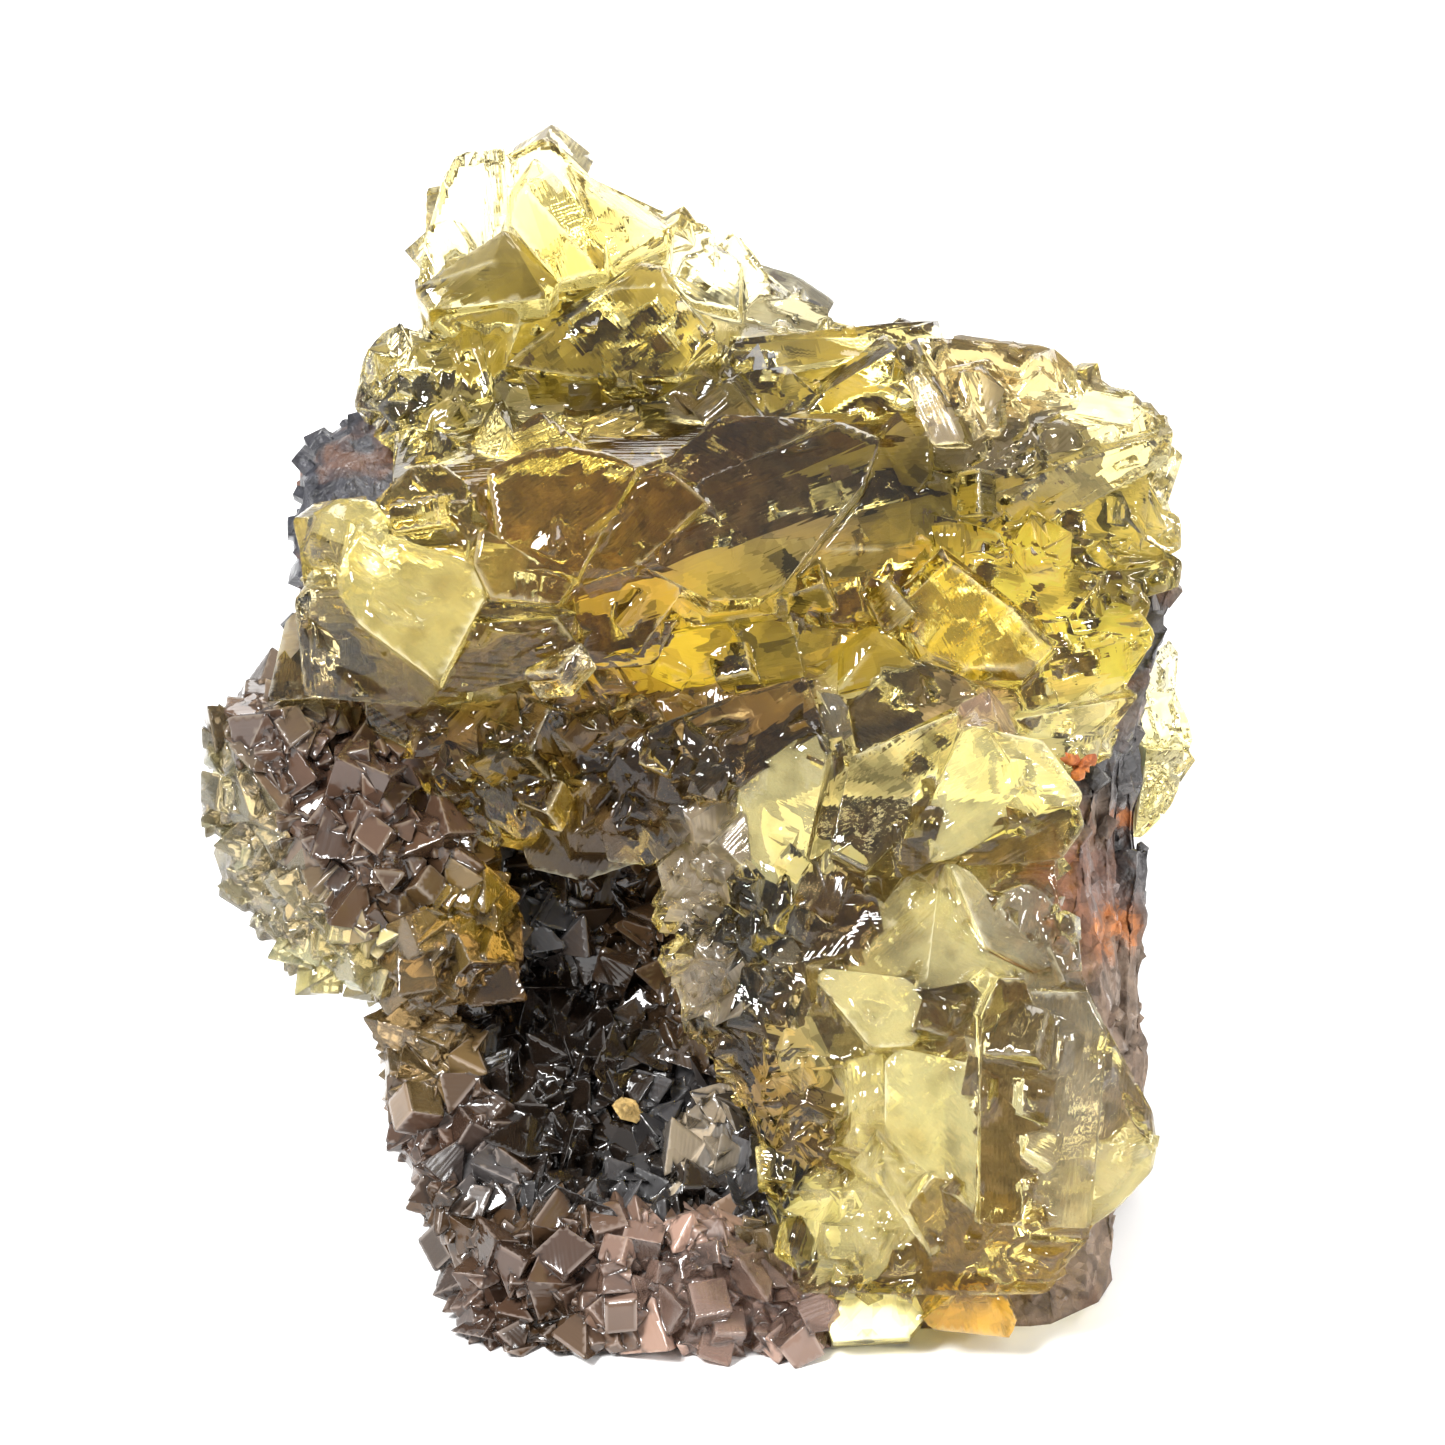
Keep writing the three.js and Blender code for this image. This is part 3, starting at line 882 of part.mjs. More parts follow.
const fluorite = join(FRONT_CRYSTALS.map((shape) => crystal(shape)))
  .subtract(sheet(SEAT, SEAT_THICKNESS / 2, -CLEAR_OF_EVERYTHING))
  .add(sheet(SEAT, SEAT_THICKNESS, 0))
  .add(join(REAR_CRYSTALS.map((shape) => crystal(shape))))
  .subtract(rockSeam)
  .subtract(oxideSeam);
const lower = lowerCrust().subtract(rockSeam).subtract(fluoriteSeam);
const crust = join([sheet(druseRows(HOLLOW, HOLLOW_DRUSE), 0, -2 * CRUST_THICKNESS, SEAM), ...hollowTips()])
  .intersect(overHollow)
  .subtract(fluoriteSeam)
  .subtract(lowerSeam)
  .subtract(knob(SEAM))
  .subtract(grainSeam);

const PIECES = [
  { name: 'matrix_rock', solid: rock, color: 0x4a4038, roughness: 0.85 },
  { name: 'front_fluorite', solid: fluorite, color: 0xc9a62e, roughness: 0.12 },
  { name: 'back_fluorite', solid: join(BACK_CRYSTALS.map((shape) => crystal(shape))).subtract(rockSeam),
    color: 0xcdbb63, roughness: 0.2 },
  { name: 'left_druse', solid: knob().subtract(rockSeam).subtract(fluoriteSeam).subtract(lowerSeam),
    color: 0x6f4c2c, roughness: 0.3 },
  { name: 'lower_druse', solid: lower, color: 0x7d6353, roughness: 0.35 },
  { name: 'hollow_crust', solid: crust, color: 0x2b211c, roughness: 0.3 },
  { name: 'iron_oxide_lump', solid: join(OXIDE_LUMPS.map((shape) => lump(shape, SMOOTH))), color: 0xa8431a,
    roughness: 0.8 },
  { name: 'tan_grain', solid: block(TAN_GRAIN), color: 0x9a8460, roughness: 0.5 },
];

const specimen = new THREE.Group();
for (const { name, solid, color, roughness } of PIECES) {
  const material = new THREE.MeshStandardMaterial({ color, roughness, metalness: 0 });
  const mesh = new THREE.Mesh(toGeometry(solid), material);
  mesh.name = name;
  specimen.add(mesh);
}

// The specimen stands on the ground plane, centred over its origin
const reach = new THREE.Box3().setFromObject(specimen);
const centre = reach.getCenter(new THREE.Vector3());
specimen.position.set(-centre.x, -centre.y, -reach.min.z);

export default specimen;
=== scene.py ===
"""A cluster of yellow fluorite on dark rock, dressed over the solids of its frame.

The frame gives every piece its place and its main facets. This script grows growth steps, small
crystals and chips on them, roughens the rock, and gives each piece its finish. Shapes are worked
out in millimetres on the display face and are placed in metres when a mesh is finished.
"""

import itertools
import logging
import math
from collections.abc import Iterator, Sequence
from dataclasses import dataclass, field
from enum import Enum

import bpy
import numpy as np
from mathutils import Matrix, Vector
from mathutils.bvhtree import BVHTree


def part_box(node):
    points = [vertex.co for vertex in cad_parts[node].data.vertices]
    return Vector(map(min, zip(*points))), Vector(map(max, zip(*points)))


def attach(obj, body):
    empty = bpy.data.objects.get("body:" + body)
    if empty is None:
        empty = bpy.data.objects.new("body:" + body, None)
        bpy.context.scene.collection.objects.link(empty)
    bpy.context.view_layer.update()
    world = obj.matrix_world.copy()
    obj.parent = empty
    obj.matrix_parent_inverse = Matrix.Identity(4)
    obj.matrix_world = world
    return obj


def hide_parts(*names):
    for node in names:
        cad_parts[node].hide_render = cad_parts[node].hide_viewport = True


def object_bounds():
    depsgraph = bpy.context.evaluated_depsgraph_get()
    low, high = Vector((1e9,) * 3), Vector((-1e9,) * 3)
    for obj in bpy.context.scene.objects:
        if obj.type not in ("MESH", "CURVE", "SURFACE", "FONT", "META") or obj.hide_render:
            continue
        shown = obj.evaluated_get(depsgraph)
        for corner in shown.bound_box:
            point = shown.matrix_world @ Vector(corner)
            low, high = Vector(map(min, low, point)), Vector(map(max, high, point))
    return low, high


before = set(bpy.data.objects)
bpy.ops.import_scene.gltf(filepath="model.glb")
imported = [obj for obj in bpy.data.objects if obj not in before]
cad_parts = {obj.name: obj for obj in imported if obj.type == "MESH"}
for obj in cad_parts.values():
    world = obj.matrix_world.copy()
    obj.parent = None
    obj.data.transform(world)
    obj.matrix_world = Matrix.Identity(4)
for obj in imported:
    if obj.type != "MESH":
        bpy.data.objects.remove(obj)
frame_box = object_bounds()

LOG = logging.getLogger("fluorite")
MILLIMETRE = 0.001
BODY = "root"
SIDES = np.array([[0, 1], [1, 2], [2, 0]])
TINY = 1e-9


# Places


@dataclass(frozen=True)
class DisplayFace:
    """The leaning face of the specimen, on which places are given in millimetres.

    "across" runs to the right, "up" runs along the face and "out" stands square off it. The frame's
    origin is found from the tan crystal, whose left corner, foremost corner and the height of the
    base cut are known on the display face.
    """

    lean: float = math.radians(22.0)
    base_cut: float = 2.2
    grain_left: float = -6.9
    grain_front: tuple[float, float] = (14.9, 0.1)

    def axes(self) -> np.ndarray:
        """The rows that turn across, up and out into X, Y and Z."""
        sine, cosine = math.sin(self.lean), math.cos(self.lean)
        return np.array([[1.0, 0.0, 0.0], [0.0, sine, -cosine], [0.0, cosine, sine]])

    def shift(self) -> np.ndarray:
        """From the display face's origin to the frame's, in millimetres of X, Y and Z."""
        low = np.array(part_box("tan_grain")[0]) / MILLIMETRE
        front = self.axes()[1, 1:] @ np.array(self.grain_front)
        return np.array([low[0] - self.grain_left, low[1] - front, -self.base_cut])

    def place(self, points: np.ndarray) -> np.ndarray:
        """Turns places on the display face into the frame's metres.

        Args:
            points: Across, up and out in millimetres, in the last axis.

        Returns:
            X, Y and Z in metres.
        """
        return (points @ self.axes().T + self.shift()) * MILLIMETRE

    def locate(self, points: np.ndarray) -> np.ndarray:
        """Turns the frame's metres into places on the display face.

        Args:
            points: X, Y and Z in metres, in the last axis.

        Returns:
            Across, up and out in millimetres.
        """
        return (points / MILLIMETRE - self.shift()) @ self.axes()


FACE = DisplayFace()


def kept_inside(points: np.ndarray) -> np.ndarray:
    """Moves points that lie outside the frame's box onto it.

    Args:
        points: Places on the display face.

    Returns:
        The same places, none of them outside the box.
    """
    low, high = (np.array(corner) for corner in frame_box)
    return FACE.locate(np.clip(FACE.place(points), low, high))


def unit(vectors: np.ndarray) -> np.ndarray:
    """Each vector divided by its own length."""
    return vectors / np.maximum(np.linalg.norm(vectors, axis=-1, keepdims=True), TINY)


@dataclass(frozen=True)
class Noise:
    """Smooth random numbers over space, the same for the same seed.

    Attributes:
        seed: Picks one of many such fields.
    """

    seed: int

    def corner(self, cells: np.ndarray) -> np.ndarray:
        """A number between -1 and 1 for each whole-numbered place, by mixing its bits."""
        mixed = (cells[..., 0] * 73856093) ^ (cells[..., 1] * 19349663) ^ (cells[..., 2] * 83492791)
        mixed = (mixed + self.seed * 40503) & 0xFFFFFFFF
        mixed = ((mixed ^ (mixed >> 13)) * 1274126177) & 0xFFFFFFFF
        return (mixed ^ (mixed >> 16)) / 0x7FFFFFFF - 1.0

    def smooth(self, points: np.ndarray, spacing: float) -> np.ndarray:
        """Blends the numbers of the eight corners of each point's lattice cell.

        Args:
            points: Places, in the last axis.
            spacing: The lattice's step.

        Returns:
            One number between -1 and 1 for each point.
        """
        place = points / spacing
        cell = np.floor(place).astype(np.int64)
        part = place - cell
        part = part * part * (3.0 - 2.0 * part)
        total = np.zeros(points.shape[:-1])
        for corner in itertools.product((0, 1), repeat=3):
            weight = np.prod(np.where(np.array(corner, bool), part, 1.0 - part), axis=-1)
            total += weight * self.corner(cell + np.array(corner))
        return total

    def fractal(self, points: np.ndarray, spacing: float, octaves: int = 4) -> np.ndarray:
        """Adds ever finer and weaker noise: each octave has half the step and half the height.

        Args:
            points: Places, in the last axis.
            spacing: The coarsest step.
            octaves: How many are added.

        Returns:
            One number for each point, mostly between -1 and 1.
        """
        return sum(self.smooth(points + 7.31 * step, spacing / 2**step) / 2**step for step in range(octaves))


# Shapes


@dataclass
class Shape:
    """A closed triangle mesh in millimetres on the display face.

    Attributes:
        points: Across, up and out of each point.
        faces: The three points of each face.
        facet: The number of the flat facet that each face is part of.
    """

    points: np.ndarray
    faces: np.ndarray
    facet: np.ndarray

    def area_vectors(self) -> np.ndarray:
        """Each face's outward normal with the face's area as its length."""
        corners = self.points[self.faces]
        return np.cross(corners[:, 1] - corners[:, 0], corners[:, 2] - corners[:, 0]) / 2.0

    def centres(self) -> np.ndarray:
        """The middle of each face."""
        return self.points[self.faces].mean(axis=1)


@dataclass
class Edges:
    """The edges of a shape.

    Attributes:
        ends: The two points of each edge.
        sides: Which edge each of the three sides of each face is.
        faces: The two faces beside each edge.
    """

    ends: np.ndarray
    sides: np.ndarray
    faces: np.ndarray

    @classmethod
    def of(cls, shape: Shape) -> "Edges":
        """Finds each edge once by giving its sorted pair of points one number.

        Args:
            shape: A closed shape.

        Returns:
            Its edges.
        """
        pairs = np.sort(shape.faces[:, SIDES].reshape(-1, 2), axis=1).astype(np.int64)
        key = pairs[:, 0] * len(shape.points) + pairs[:, 1]
        _, first, edge = np.unique(key, return_index=True, return_inverse=True)
        last = np.zeros(len(first), np.int64)
        last[edge] = np.arange(len(key))
        return cls(pairs[first], edge.reshape(-1, 3), np.stack([first, last], axis=1) // 3)


def facet_numbers(shape: Shape, tolerance: float = math.radians(3.0)) -> np.ndarray:
    """Gives faces that lie flat beside each other one number.

    Every face starts with its own number, and the lower number of two flat neighbours spreads to
    both until nothing changes.

    Args:
        shape: A closed shape.
        tolerance: The angle below which two faces count as flat.

    Returns:
        A number for each face.
    """
    normals = unit(shape.area_vectors())
    beside = Edges.of(shape).faces
    flat = (normals[beside[:, 0]] * normals[beside[:, 1]]).sum(axis=1) > math.cos(tolerance)
    left, right = beside[flat].T
    number = np.arange(len(shape.faces))
    while True:
        before = number.copy()
        lowest = np.minimum(number[left], number[right])
        np.minimum.at(number, left, lowest)
        np.minimum.at(number, right, lowest)
        number = number[number]
        if (number == before).all():
            return number


@dataclass
class Facets:
    """What is known of each flat facet of a shape.

    Attributes:
        row: The facet of each face, as a row of the arrays below.
        normal: The facet's outward normal.
        middle: The middle of its area.
        along: The direction of its longest edge.
        area: Its area in square millimetres.
    """

    row: np.ndarray
    normal: np.ndarray
    middle: np.ndarray
    along: np.ndarray
    area: np.ndarray

    @classmethod
    def of(cls, shape: Shape, edges: Edges) -> "Facets":
        """Sums the faces of each facet, weighted by their area.

        Args:
            shape: A closed shape.
            edges: Its edges.

        Returns:
            Its facets.
        """
        _, row = np.unique(shape.facet, return_inverse=True)
        vectors = shape.area_vectors()
        areas = np.linalg.norm(vectors, axis=1)
        total = [np.bincount(row, weights=column) for column in vectors.T]
        middles = [np.bincount(row, weights=column * areas) for column in shape.centres().T]
        area = np.maximum(np.bincount(row, weights=areas), TINY)
        normal = unit(np.stack(total, axis=1))
        spans = shape.points[edges.ends[:, 1]] - shape.points[edges.ends[:, 0]]
        beside = row[edges.faces]
        order = np.argsort(np.linalg.norm(spans, axis=1) * (beside[:, 0] != beside[:, 1]))
        along = np.zeros_like(normal)
        along[beside[order, 0]] = spans[order]
        along[beside[order, 1]] = spans[order]
        along -= normal * (along * normal).sum(axis=1, keepdims=True)
        return cls(row, normal, np.stack(middles, axis=1) / area[:, None], unit(along), area)


def creases(edges: Edges, facets: Facets, least: float = 0.0, angle: float = math.radians(16.0)) -> np.ndarray:
    """Finds the edges between facets that meet at an angle.

    Args:
        edges: The edges of a closed shape.
        facets: Its facets.
        least: How large both facets must be, in square millimetres.
        angle: The least angle of a crease.

    Returns:
        Whether each edge is a crease.
    """
    beside = facets.row[edges.faces]
    turn = (facets.normal[beside[:, 0]] * facets.normal[beside[:, 1]]).sum(axis=1)
    large = facets.area[beside].min(axis=1) > least
    return (beside[:, 0] != beside[:, 1]) & (turn < math.cos(angle)) & large


def wear_glint_and_seam_shade_of(shape: Shape, edges: Edges, facets: Facets, least: float) -> np.ndarray:
    """Marks the points on creases.

    A crease is a seam where the middle of one of its faces lies in front of the other's plane. Outer edges get a
    painted highlight along with their worn frosting, and seams get painted shade.

    Args:
        shape: A closed shape.
        edges: Its edges.
        facets: Its facets.
        least: How large the facets beside a crease must be.

    Returns:
        For each point 1 on an outer edge (worn frosting and painted highlight), -1 in a seam (painted shade) and
        0 elsewhere.
    """
    sharp = creases(edges, facets, least)
    beside = edges.faces[sharp]
    reach = shape.centres()[beside[:, 1]] - shape.points[edges.ends[sharp, 0]]
    seam = (reach * facets.normal[facets.row[beside[:, 0]]]).sum(axis=1) > 0.0
    wear_glint_and_seam_shade = np.zeros(len(shape.points))
    wear_glint_and_seam_shade[edges.ends[sharp][~seam]] = 1.0
    wear_glint_and_seam_shade[edges.ends[sharp][seam]] = -1.0
    return wear_glint_and_seam_shade


def refined(shape: Shape, fine: float, coarse: float, least: float = 0.0, passes: int = 9) -> Shape:
    """Halves long edges until none is longer than its limit.

    An edge that touches a crease has the fine limit and any other the coarse one. The longest side of
    a face is halved with any other side of it, so faces keep a good form and the mesh stays closed.

    Args:
        shape: A closed shape.
        fine: The longest edge at a crease.
        coarse: The longest edge elsewhere.
        least: How large the facets beside a crease must be.
        passes: The most rounds of halving.

    Returns:
        The same form with more faces.
    """
    points, faces, facet = shape.points, shape.faces, shape.facet
    for _ in range(passes):
        now = Shape(points, faces, facet)
        edges = Edges.of(now)
        creased = np.zeros(len(points), bool)
        creased[edges.ends[creases(edges, Facets.of(now, edges), least)]] = True
        length = np.linalg.norm(points[edges.ends[:, 0]] - points[edges.ends[:, 1]], axis=1)
        marked = length > np.where(creased[edges.ends].any(axis=1), fine, coarse)
        longest = length[edges.sides].argmax(axis=1)
        longest_edge = edges.sides[np.arange(len(faces)), longest]
        while True:
            missing = marked[edges.sides].any(axis=1) & ~marked[longest_edge]
            if not missing.any():
                break
            marked[longest_edge[missing]] = True
        if not marked.any():
            break
        middle = np.full(len(marked), -1)
        middle[marked] = len(points) + np.arange(marked.sum())
        points = np.vstack([points, points[edges.ends[marked]].mean(axis=1)])
        turn = (longest[:, None] + np.arange(3)) % 3
        a, b, c = np.take_along_axis(faces, turn, axis=1).T
        first, second, third = np.take_along_axis(middle[edges.sides], turn, axis=1).T
        parts = [
            (first < 0, (a, b, c)),
            ((first >= 0) & (third < 0), (a, first, c)),
            (third >= 0, (a, first, third)),
            (third >= 0, (third, first, c)),
            ((first >= 0) & (second < 0), (first, b, c)),
            (second >= 0, (first, b, second)),
            (second >= 0, (first, second, c)),
        ]
        faces = np.vstack([np.stack(corners, axis=1)[chosen] for chosen, corners in parts])
        facet = np.concatenate([facet[chosen] for chosen, _ in parts])
    return Shape(points, faces, facet)


def softened(shape: Shape, share: float, least: float = 0.0) -> Shape:
    """Rounds the creases by moving their points towards the mean of the points beside them.

    Args:
        shape: A closed shape, refined at its creases.
        share: How much of the way a point goes.
        least: How large the facets beside a crease must be.

    Returns:
        The shape with worn edges.
    """
    edges = Edges.of(shape)
    worn = np.zeros(len(shape.points), bool)
    worn[edges.ends[creases(edges, Facets.of(shape, edges), least)]] = True
    points = shape.points.copy()
    ends = np.vstack([edges.ends, edges.ends[:, ::-1]])
    count = np.bincount(ends[:, 0], minlength=len(points))
    beside = points[ends[:, 1]].T
    sums = [np.bincount(ends[:, 0], weights=column, minlength=len(points)) for column in beside]
    mean = np.stack(sums, axis=1) / np.maximum(count, 1)[:, None]
    points[worn] += share * (mean - points)[worn]
    return Shape(points, shape.faces, shape.facet)


# Joining


class Operation(Enum):
    """What a set of small shapes does to a large one."""

    ADD = "UNION"
    CUT = "DIFFERENCE"


def mesh_of(name: str, points: np.ndarray, shape: Shape) -> bpy.types.Mesh:
    """Writes a shape into a new mesh.

    Args:
        name: The mesh's name.
        points: Where its points go.
        shape: Its faces and their facets.

    Returns:
        The mesh, with the facets as a face attribute.
    """
    mesh = bpy.data.meshes.new(name)
    mesh.vertices.add(len(points))
    mesh.vertices.foreach_set("co", points.astype(np.float32).ravel())
    mesh.loops.add(3 * len(shape.faces))
    mesh.loops.foreach_set("vertex_index", shape.faces.astype(np.int32).ravel())
    mesh.polygons.add(len(shape.faces))
    mesh.polygons.foreach_set("loop_start", np.arange(0, 3 * len(shape.faces), 3, dtype=np.int32))
    mesh.attributes.new("facet", "INT", "FACE").data.foreach_set("value", shape.facet.astype(np.int32))
    mesh.update(calc_edges=True)
    return mesh


def object_of(mesh: bpy.types.Mesh) -> bpy.types.Object:
    """Links a new object with the mesh and its name."""
    made = bpy.data.objects.new(mesh.name, mesh)
    bpy.context.scene.collection.objects.link(made)
    return made


def combined(base: Shape, others: Sequence[Shape], operation: Operation) -> Shape:
    """Joins shapes to a shape or cuts them out of it, so that one closed shape is left.

    Args:
        base: The large shape.
        others: Shapes, each without overlaps in itself.
        operation: Whether they are added or cut out.

    Returns:
        The shape, whose faces keep the facets that they come from.
    """
    target = object_of(mesh_of("base", base.points, base))
    for other in others:
        tool = object_of(mesh_of("tool", other.points, other))
        modifier = target.modifiers.new("combine", "BOOLEAN")
        modifier.operation = operation.value
        modifier.solver = "MANIFOLD"
        modifier.object = tool
        graph = bpy.context.evaluated_depsgraph_get()
        done = bpy.data.meshes.new_from_object(target.evaluated_get(graph))
        target.modifiers.clear()
        spent, target.data = target.data, done
        bpy.data.meshes.remove(spent)
        bpy.data.meshes.remove(tool.data)
    mesh = target.data
    mesh.calc_loop_triangles()
    points = np.zeros(len(mesh.vertices) * 3, np.float32)
    mesh.vertices.foreach_get("co", points)
    faces = np.zeros(len(mesh.loop_triangles) * 3, np.int32)
    mesh.loop_triangles.foreach_get("vertices", faces)
    polygon = np.zeros(len(mesh.loop_triangles), np.int32)
    mesh.loop_triangles.foreach_get("polygon_index", polygon)
    facet = np.zeros(len(mesh.polygons), np.int32)
    mesh.attributes["facet"].data.foreach_get("value", facet)
    bpy.data.meshes.remove(mesh)
    return Shape(points.reshape(-1, 3).astype(float), faces.reshape(-1, 3).astype(np.int64), facet[polygon])


def solid_of(node: str) -> Shape:
    """Reads a node of the frame as one closed shape, its doubled points merged.

    Args:
        node: The node's name.

    Returns:
        The shape, with its facets numbered.
    """
    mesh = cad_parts[node].data
    mesh.calc_loop_triangles()
    points = np.zeros(len(mesh.vertices) * 3, np.float32)
    mesh.vertices.foreach_get("co", points)
    faces = np.zeros(len(mesh.loop_triangles) * 3, np.int32)
    mesh.loop_triangles.foreach_get("vertices", faces)
    merged, index = np.unique(points.reshape(-1, 3), axis=0, return_inverse=True)
    faces = index.ravel()[faces].reshape(-1, 3)
    whole = (faces[:, 0] != faces[:, 1]) & (faces[:, 1] != faces[:, 2]) & (faces[:, 2] != faces[:, 0])
    shape = Shape(FACE.locate(merged.astype(float)), faces[whole], np.zeros(whole.sum(), int))
    shape.facet = facet_numbers(shape)
    return shape


def distances(places: np.ndarray, surface: Shape) -> np.ndarray:
    """How far each place is from a surface, in millimetres."""
    tree = BVHTree.FromPolygons(surface.points.tolist(), surface.faces.tolist())
    return np.array([tree.find_nearest(place)[3] for place in places])


def behind(places: np.ndarray, surface: Shape) -> np.ndarray:
    """Whether each place is behind the face of a surface that is nearest to it."""
    tree = BVHTree.FromPolygons(surface.points.tolist(), surface.faces.tolist())
    spots, normals = zip(*(tree.find_nearest(place)[:2] for place in places))
    return ((places - np.array(spots)) * np.array(normals)).sum(axis=1) < 0.0


# Small crystals


@dataclass(frozen=True)
class Form:
    """The form of a small crystal, one unit in size.

    Attributes:
        corners: Its corners, with the third axis pointing out of the surface that it grows on.
        faces: Its triangles, facing outwards.
        flats: The number of the flat facet that each triangle is part of.
    """

    corners: np.ndarray
    faces: np.ndarray
    flats: np.ndarray


def block_form(taper: float = 0.0) -> Form:
    """A cube from -1 to 1, whose outer end may be narrower.

    Args:
        taper: The share by which the outer end is narrower.

    Returns:
        The form.
    """
    corners = np.array(list(itertools.product((-1.0, 1.0), repeat=3)))
    corners[corners[:, 2] > 0, :2] *= 1.0 - taper
    quads = np.array([[0, 1, 3, 2], [4, 6, 7, 5], [0, 4, 5, 1], [2, 3, 7, 6], [0, 2, 6, 4], [1, 5, 7, 3]])
    return Form(corners, np.vstack([quads[:, [0, 1, 2]], quads[:, [0, 2, 3]]]), np.tile(np.arange(6), 2))


def tip_form() -> Form:
    """A three-sided crystal point: a ring of three corners, the tip above it and its root below."""
    angles = np.arange(3) * math.tau / 3
    ring = np.stack([np.cos(angles), np.sin(angles), np.zeros(3)], axis=1)
    corners = np.vstack([ring, [[0.0, 0.0, 1.0], [0.0, 0.0, -1.0]]])
    faces = np.array([[0, 1, 3], [1, 2, 3], [2, 0, 3], [1, 0, 4], [2, 1, 4], [0, 2, 4]])
    return Form(corners, faces, np.arange(6))


def corner_form() -> Form:
    """A cube that stands on one corner, so that the opposite one points straight out."""
    cube = block_form()
    outward = unit(np.array([1.0, 1.0, 1.0]))
    first = unit(np.array([1.0, -1.0, 0.0]))
    turn = np.stack([first, np.cross(outward, first), outward], axis=1)
    return Form(cube.corners @ turn / math.sqrt(3.0), cube.faces, cube.flats)


BLOCK = block_form()
STUMP = block_form(taper=0.25)
TIP = tip_form()
CORNER = corner_form()


@dataclass
class Spots:
    """Places on a surface where crystals grow.

    Attributes:
        feet: The places.
        frames: At each place the directions along the facet, beside that and outwards, as columns.
    """

    feet: np.ndarray
    frames: np.ndarray

    @classmethod
    def at(cls, feet: np.ndarray, normals: np.ndarray, along: np.ndarray) -> "Spots":
        """Completes each pair of directions to a frame.

        Args:
            feet: The places.
            normals: The outward direction at each.
            along: A direction in the facet at each.

        Returns:
            The spots.
        """
        outward = unit(normals)
        first = unit(along - outward * (along * outward).sum(axis=1, keepdims=True))
        return cls(feet, np.stack([first, np.cross(outward, first), outward], axis=2))

    def turned(self, rng: np.random.Generator, tilt: float, spin: float) -> "Spots":
        """Tilts each frame at random and spins it about its own outward direction.

        The turn is a rotation by a vector: its direction is the axis and its length the angle.

        Args:
            rng: The source of the random numbers.
            tilt: The usual tilt in radians.
            spin: The most that a frame spins either way, in radians.

        Returns:
            The turned spots.
        """
        count = len(self.feet)
        local = np.column_stack([rng.normal(size=(count, 2)) * tilt, rng.uniform(-spin, spin, count)])
        vector = np.einsum("nij,nj->ni", self.frames, local)
        angle = np.linalg.norm(vector, axis=1)[:, None, None]
        x, y, z = unit(vector).T
        zero = np.zeros(count)
        skew = np.stack([zero, -z, y, z, zero, -x, -y, x, zero], axis=1).reshape(-1, 3, 3)
        turn = np.eye(3) + np.sin(angle) * skew + (1.0 - np.cos(angle)) * skew @ skew
        return Spots(self.feet, turn @ self.frames)

    def chosen(self, keep: np.ndarray) -> "Spots":
        """Only the spots that a mask keeps."""
        return Spots(self.feet[keep], self.frames[keep])


@dataclass
class Sprouts:
    """Many small crystals of one form.

    Attributes:
        form: Their form.
        corners: The corners of each crystal.
        first_facet: The facet number of the first one's first facet.
    """

    form: Form
    corners: np.ndarray
    first_facet: int

    @classmethod
    def grown(
        cls, form: Form, spots: Spots, sizes: np.ndarray, sink: np.ndarray, first_facet: int
    ) -> "Sprouts":
        """Scales the form at each spot and sinks it into the surface.

        Args:
            form: The form.
            spots: Where each crystal grows.
            sizes: Each crystal's half sizes along its frame.
            sink: How far below the surface each crystal's middle is.
            first_facet: The facet number of the first one's first facet.

        Returns:
            The crystals.
        """
        local = form.corners[None] * sizes[:, None]
        local[..., 2] -= sink[:, None]
        corners = spots.feet[:, None] + np.einsum("nij,nkj->nki", spots.frames, local)
        return cls(form, kept_inside(corners), first_facet)

    def layers(self) -> list[Shape]:
        """Shares the crystals out so that no two of a layer overlap.

        Each crystal takes the lowest layer in which no earlier crystal's box meets its own.

        Returns:
            One shape for each layer.
        """
        low, high = self.corners.min(axis=1), self.corners.max(axis=1)
        layer = np.zeros(len(low), int)
        for index in range(1, len(low)):
            meets = ((low[:index] <= high[index]) & (high[:index] >= low[index])).all(axis=1)
            taken = set(layer[:index][meets].tolist())
            layer[index] = next(number for number in itertools.count() if number not in taken)
        return [self._shape(np.flatnonzero(layer == number)) for number in range(layer.max(initial=-1) + 1)]

    def _shape(self, chosen: np.ndarray) -> Shape:
        """The chosen crystals as one shape."""
        count, width = len(chosen), len(self.form.corners)
        faces = self.form.faces[None] + width * np.arange(count)[:, None, None]
        facet = self.form.flats[None] + self.first_facet + len(self.form.faces) * chosen[:, None]
        return Shape(self.corners[chosen].reshape(-1, 3), faces.reshape(-1, 3), facet.ravel())


def spots_on(shape: Shape, facets: Facets, weight: np.ndarray, count: int, rng: np.random.Generator) -> Spots:
    """Picks places on a shape's faces, evenly over their area times a weight.

    Args:
        shape: The shape.
        facets: Its facets.
        weight: How much each face is favoured.
        count: How many places.
        rng: The source of the random numbers.

    Returns:
        The spots, turned as the facets that they are on.
    """
    share = np.linalg.norm(shape.area_vectors(), axis=1) * weight
    face = rng.choice(len(share), count, p=share / share.sum())
    part = rng.dirichlet((1.0, 1.0, 1.0), count)
    feet = (shape.points[shape.faces[face]] * part[..., None]).sum(axis=1)
    row = facets.row[face]
    return Spots.at(feet, facets.normal[row], facets.along[row])


def mostly_small(
    rng: np.random.Generator, count: int, low: float, high: float, favour: float = 2.0
) -> np.ndarray:
    """Random sizes, most of them small.

    Args:
        rng: The source of the random numbers.
        count: How many.
        low: The smallest.
        high: The largest.
        favour: How strongly the small ones are favoured.

    Returns:
        The sizes.
    """
    return low + (high - low) * rng.random(count) ** favour


# Looks


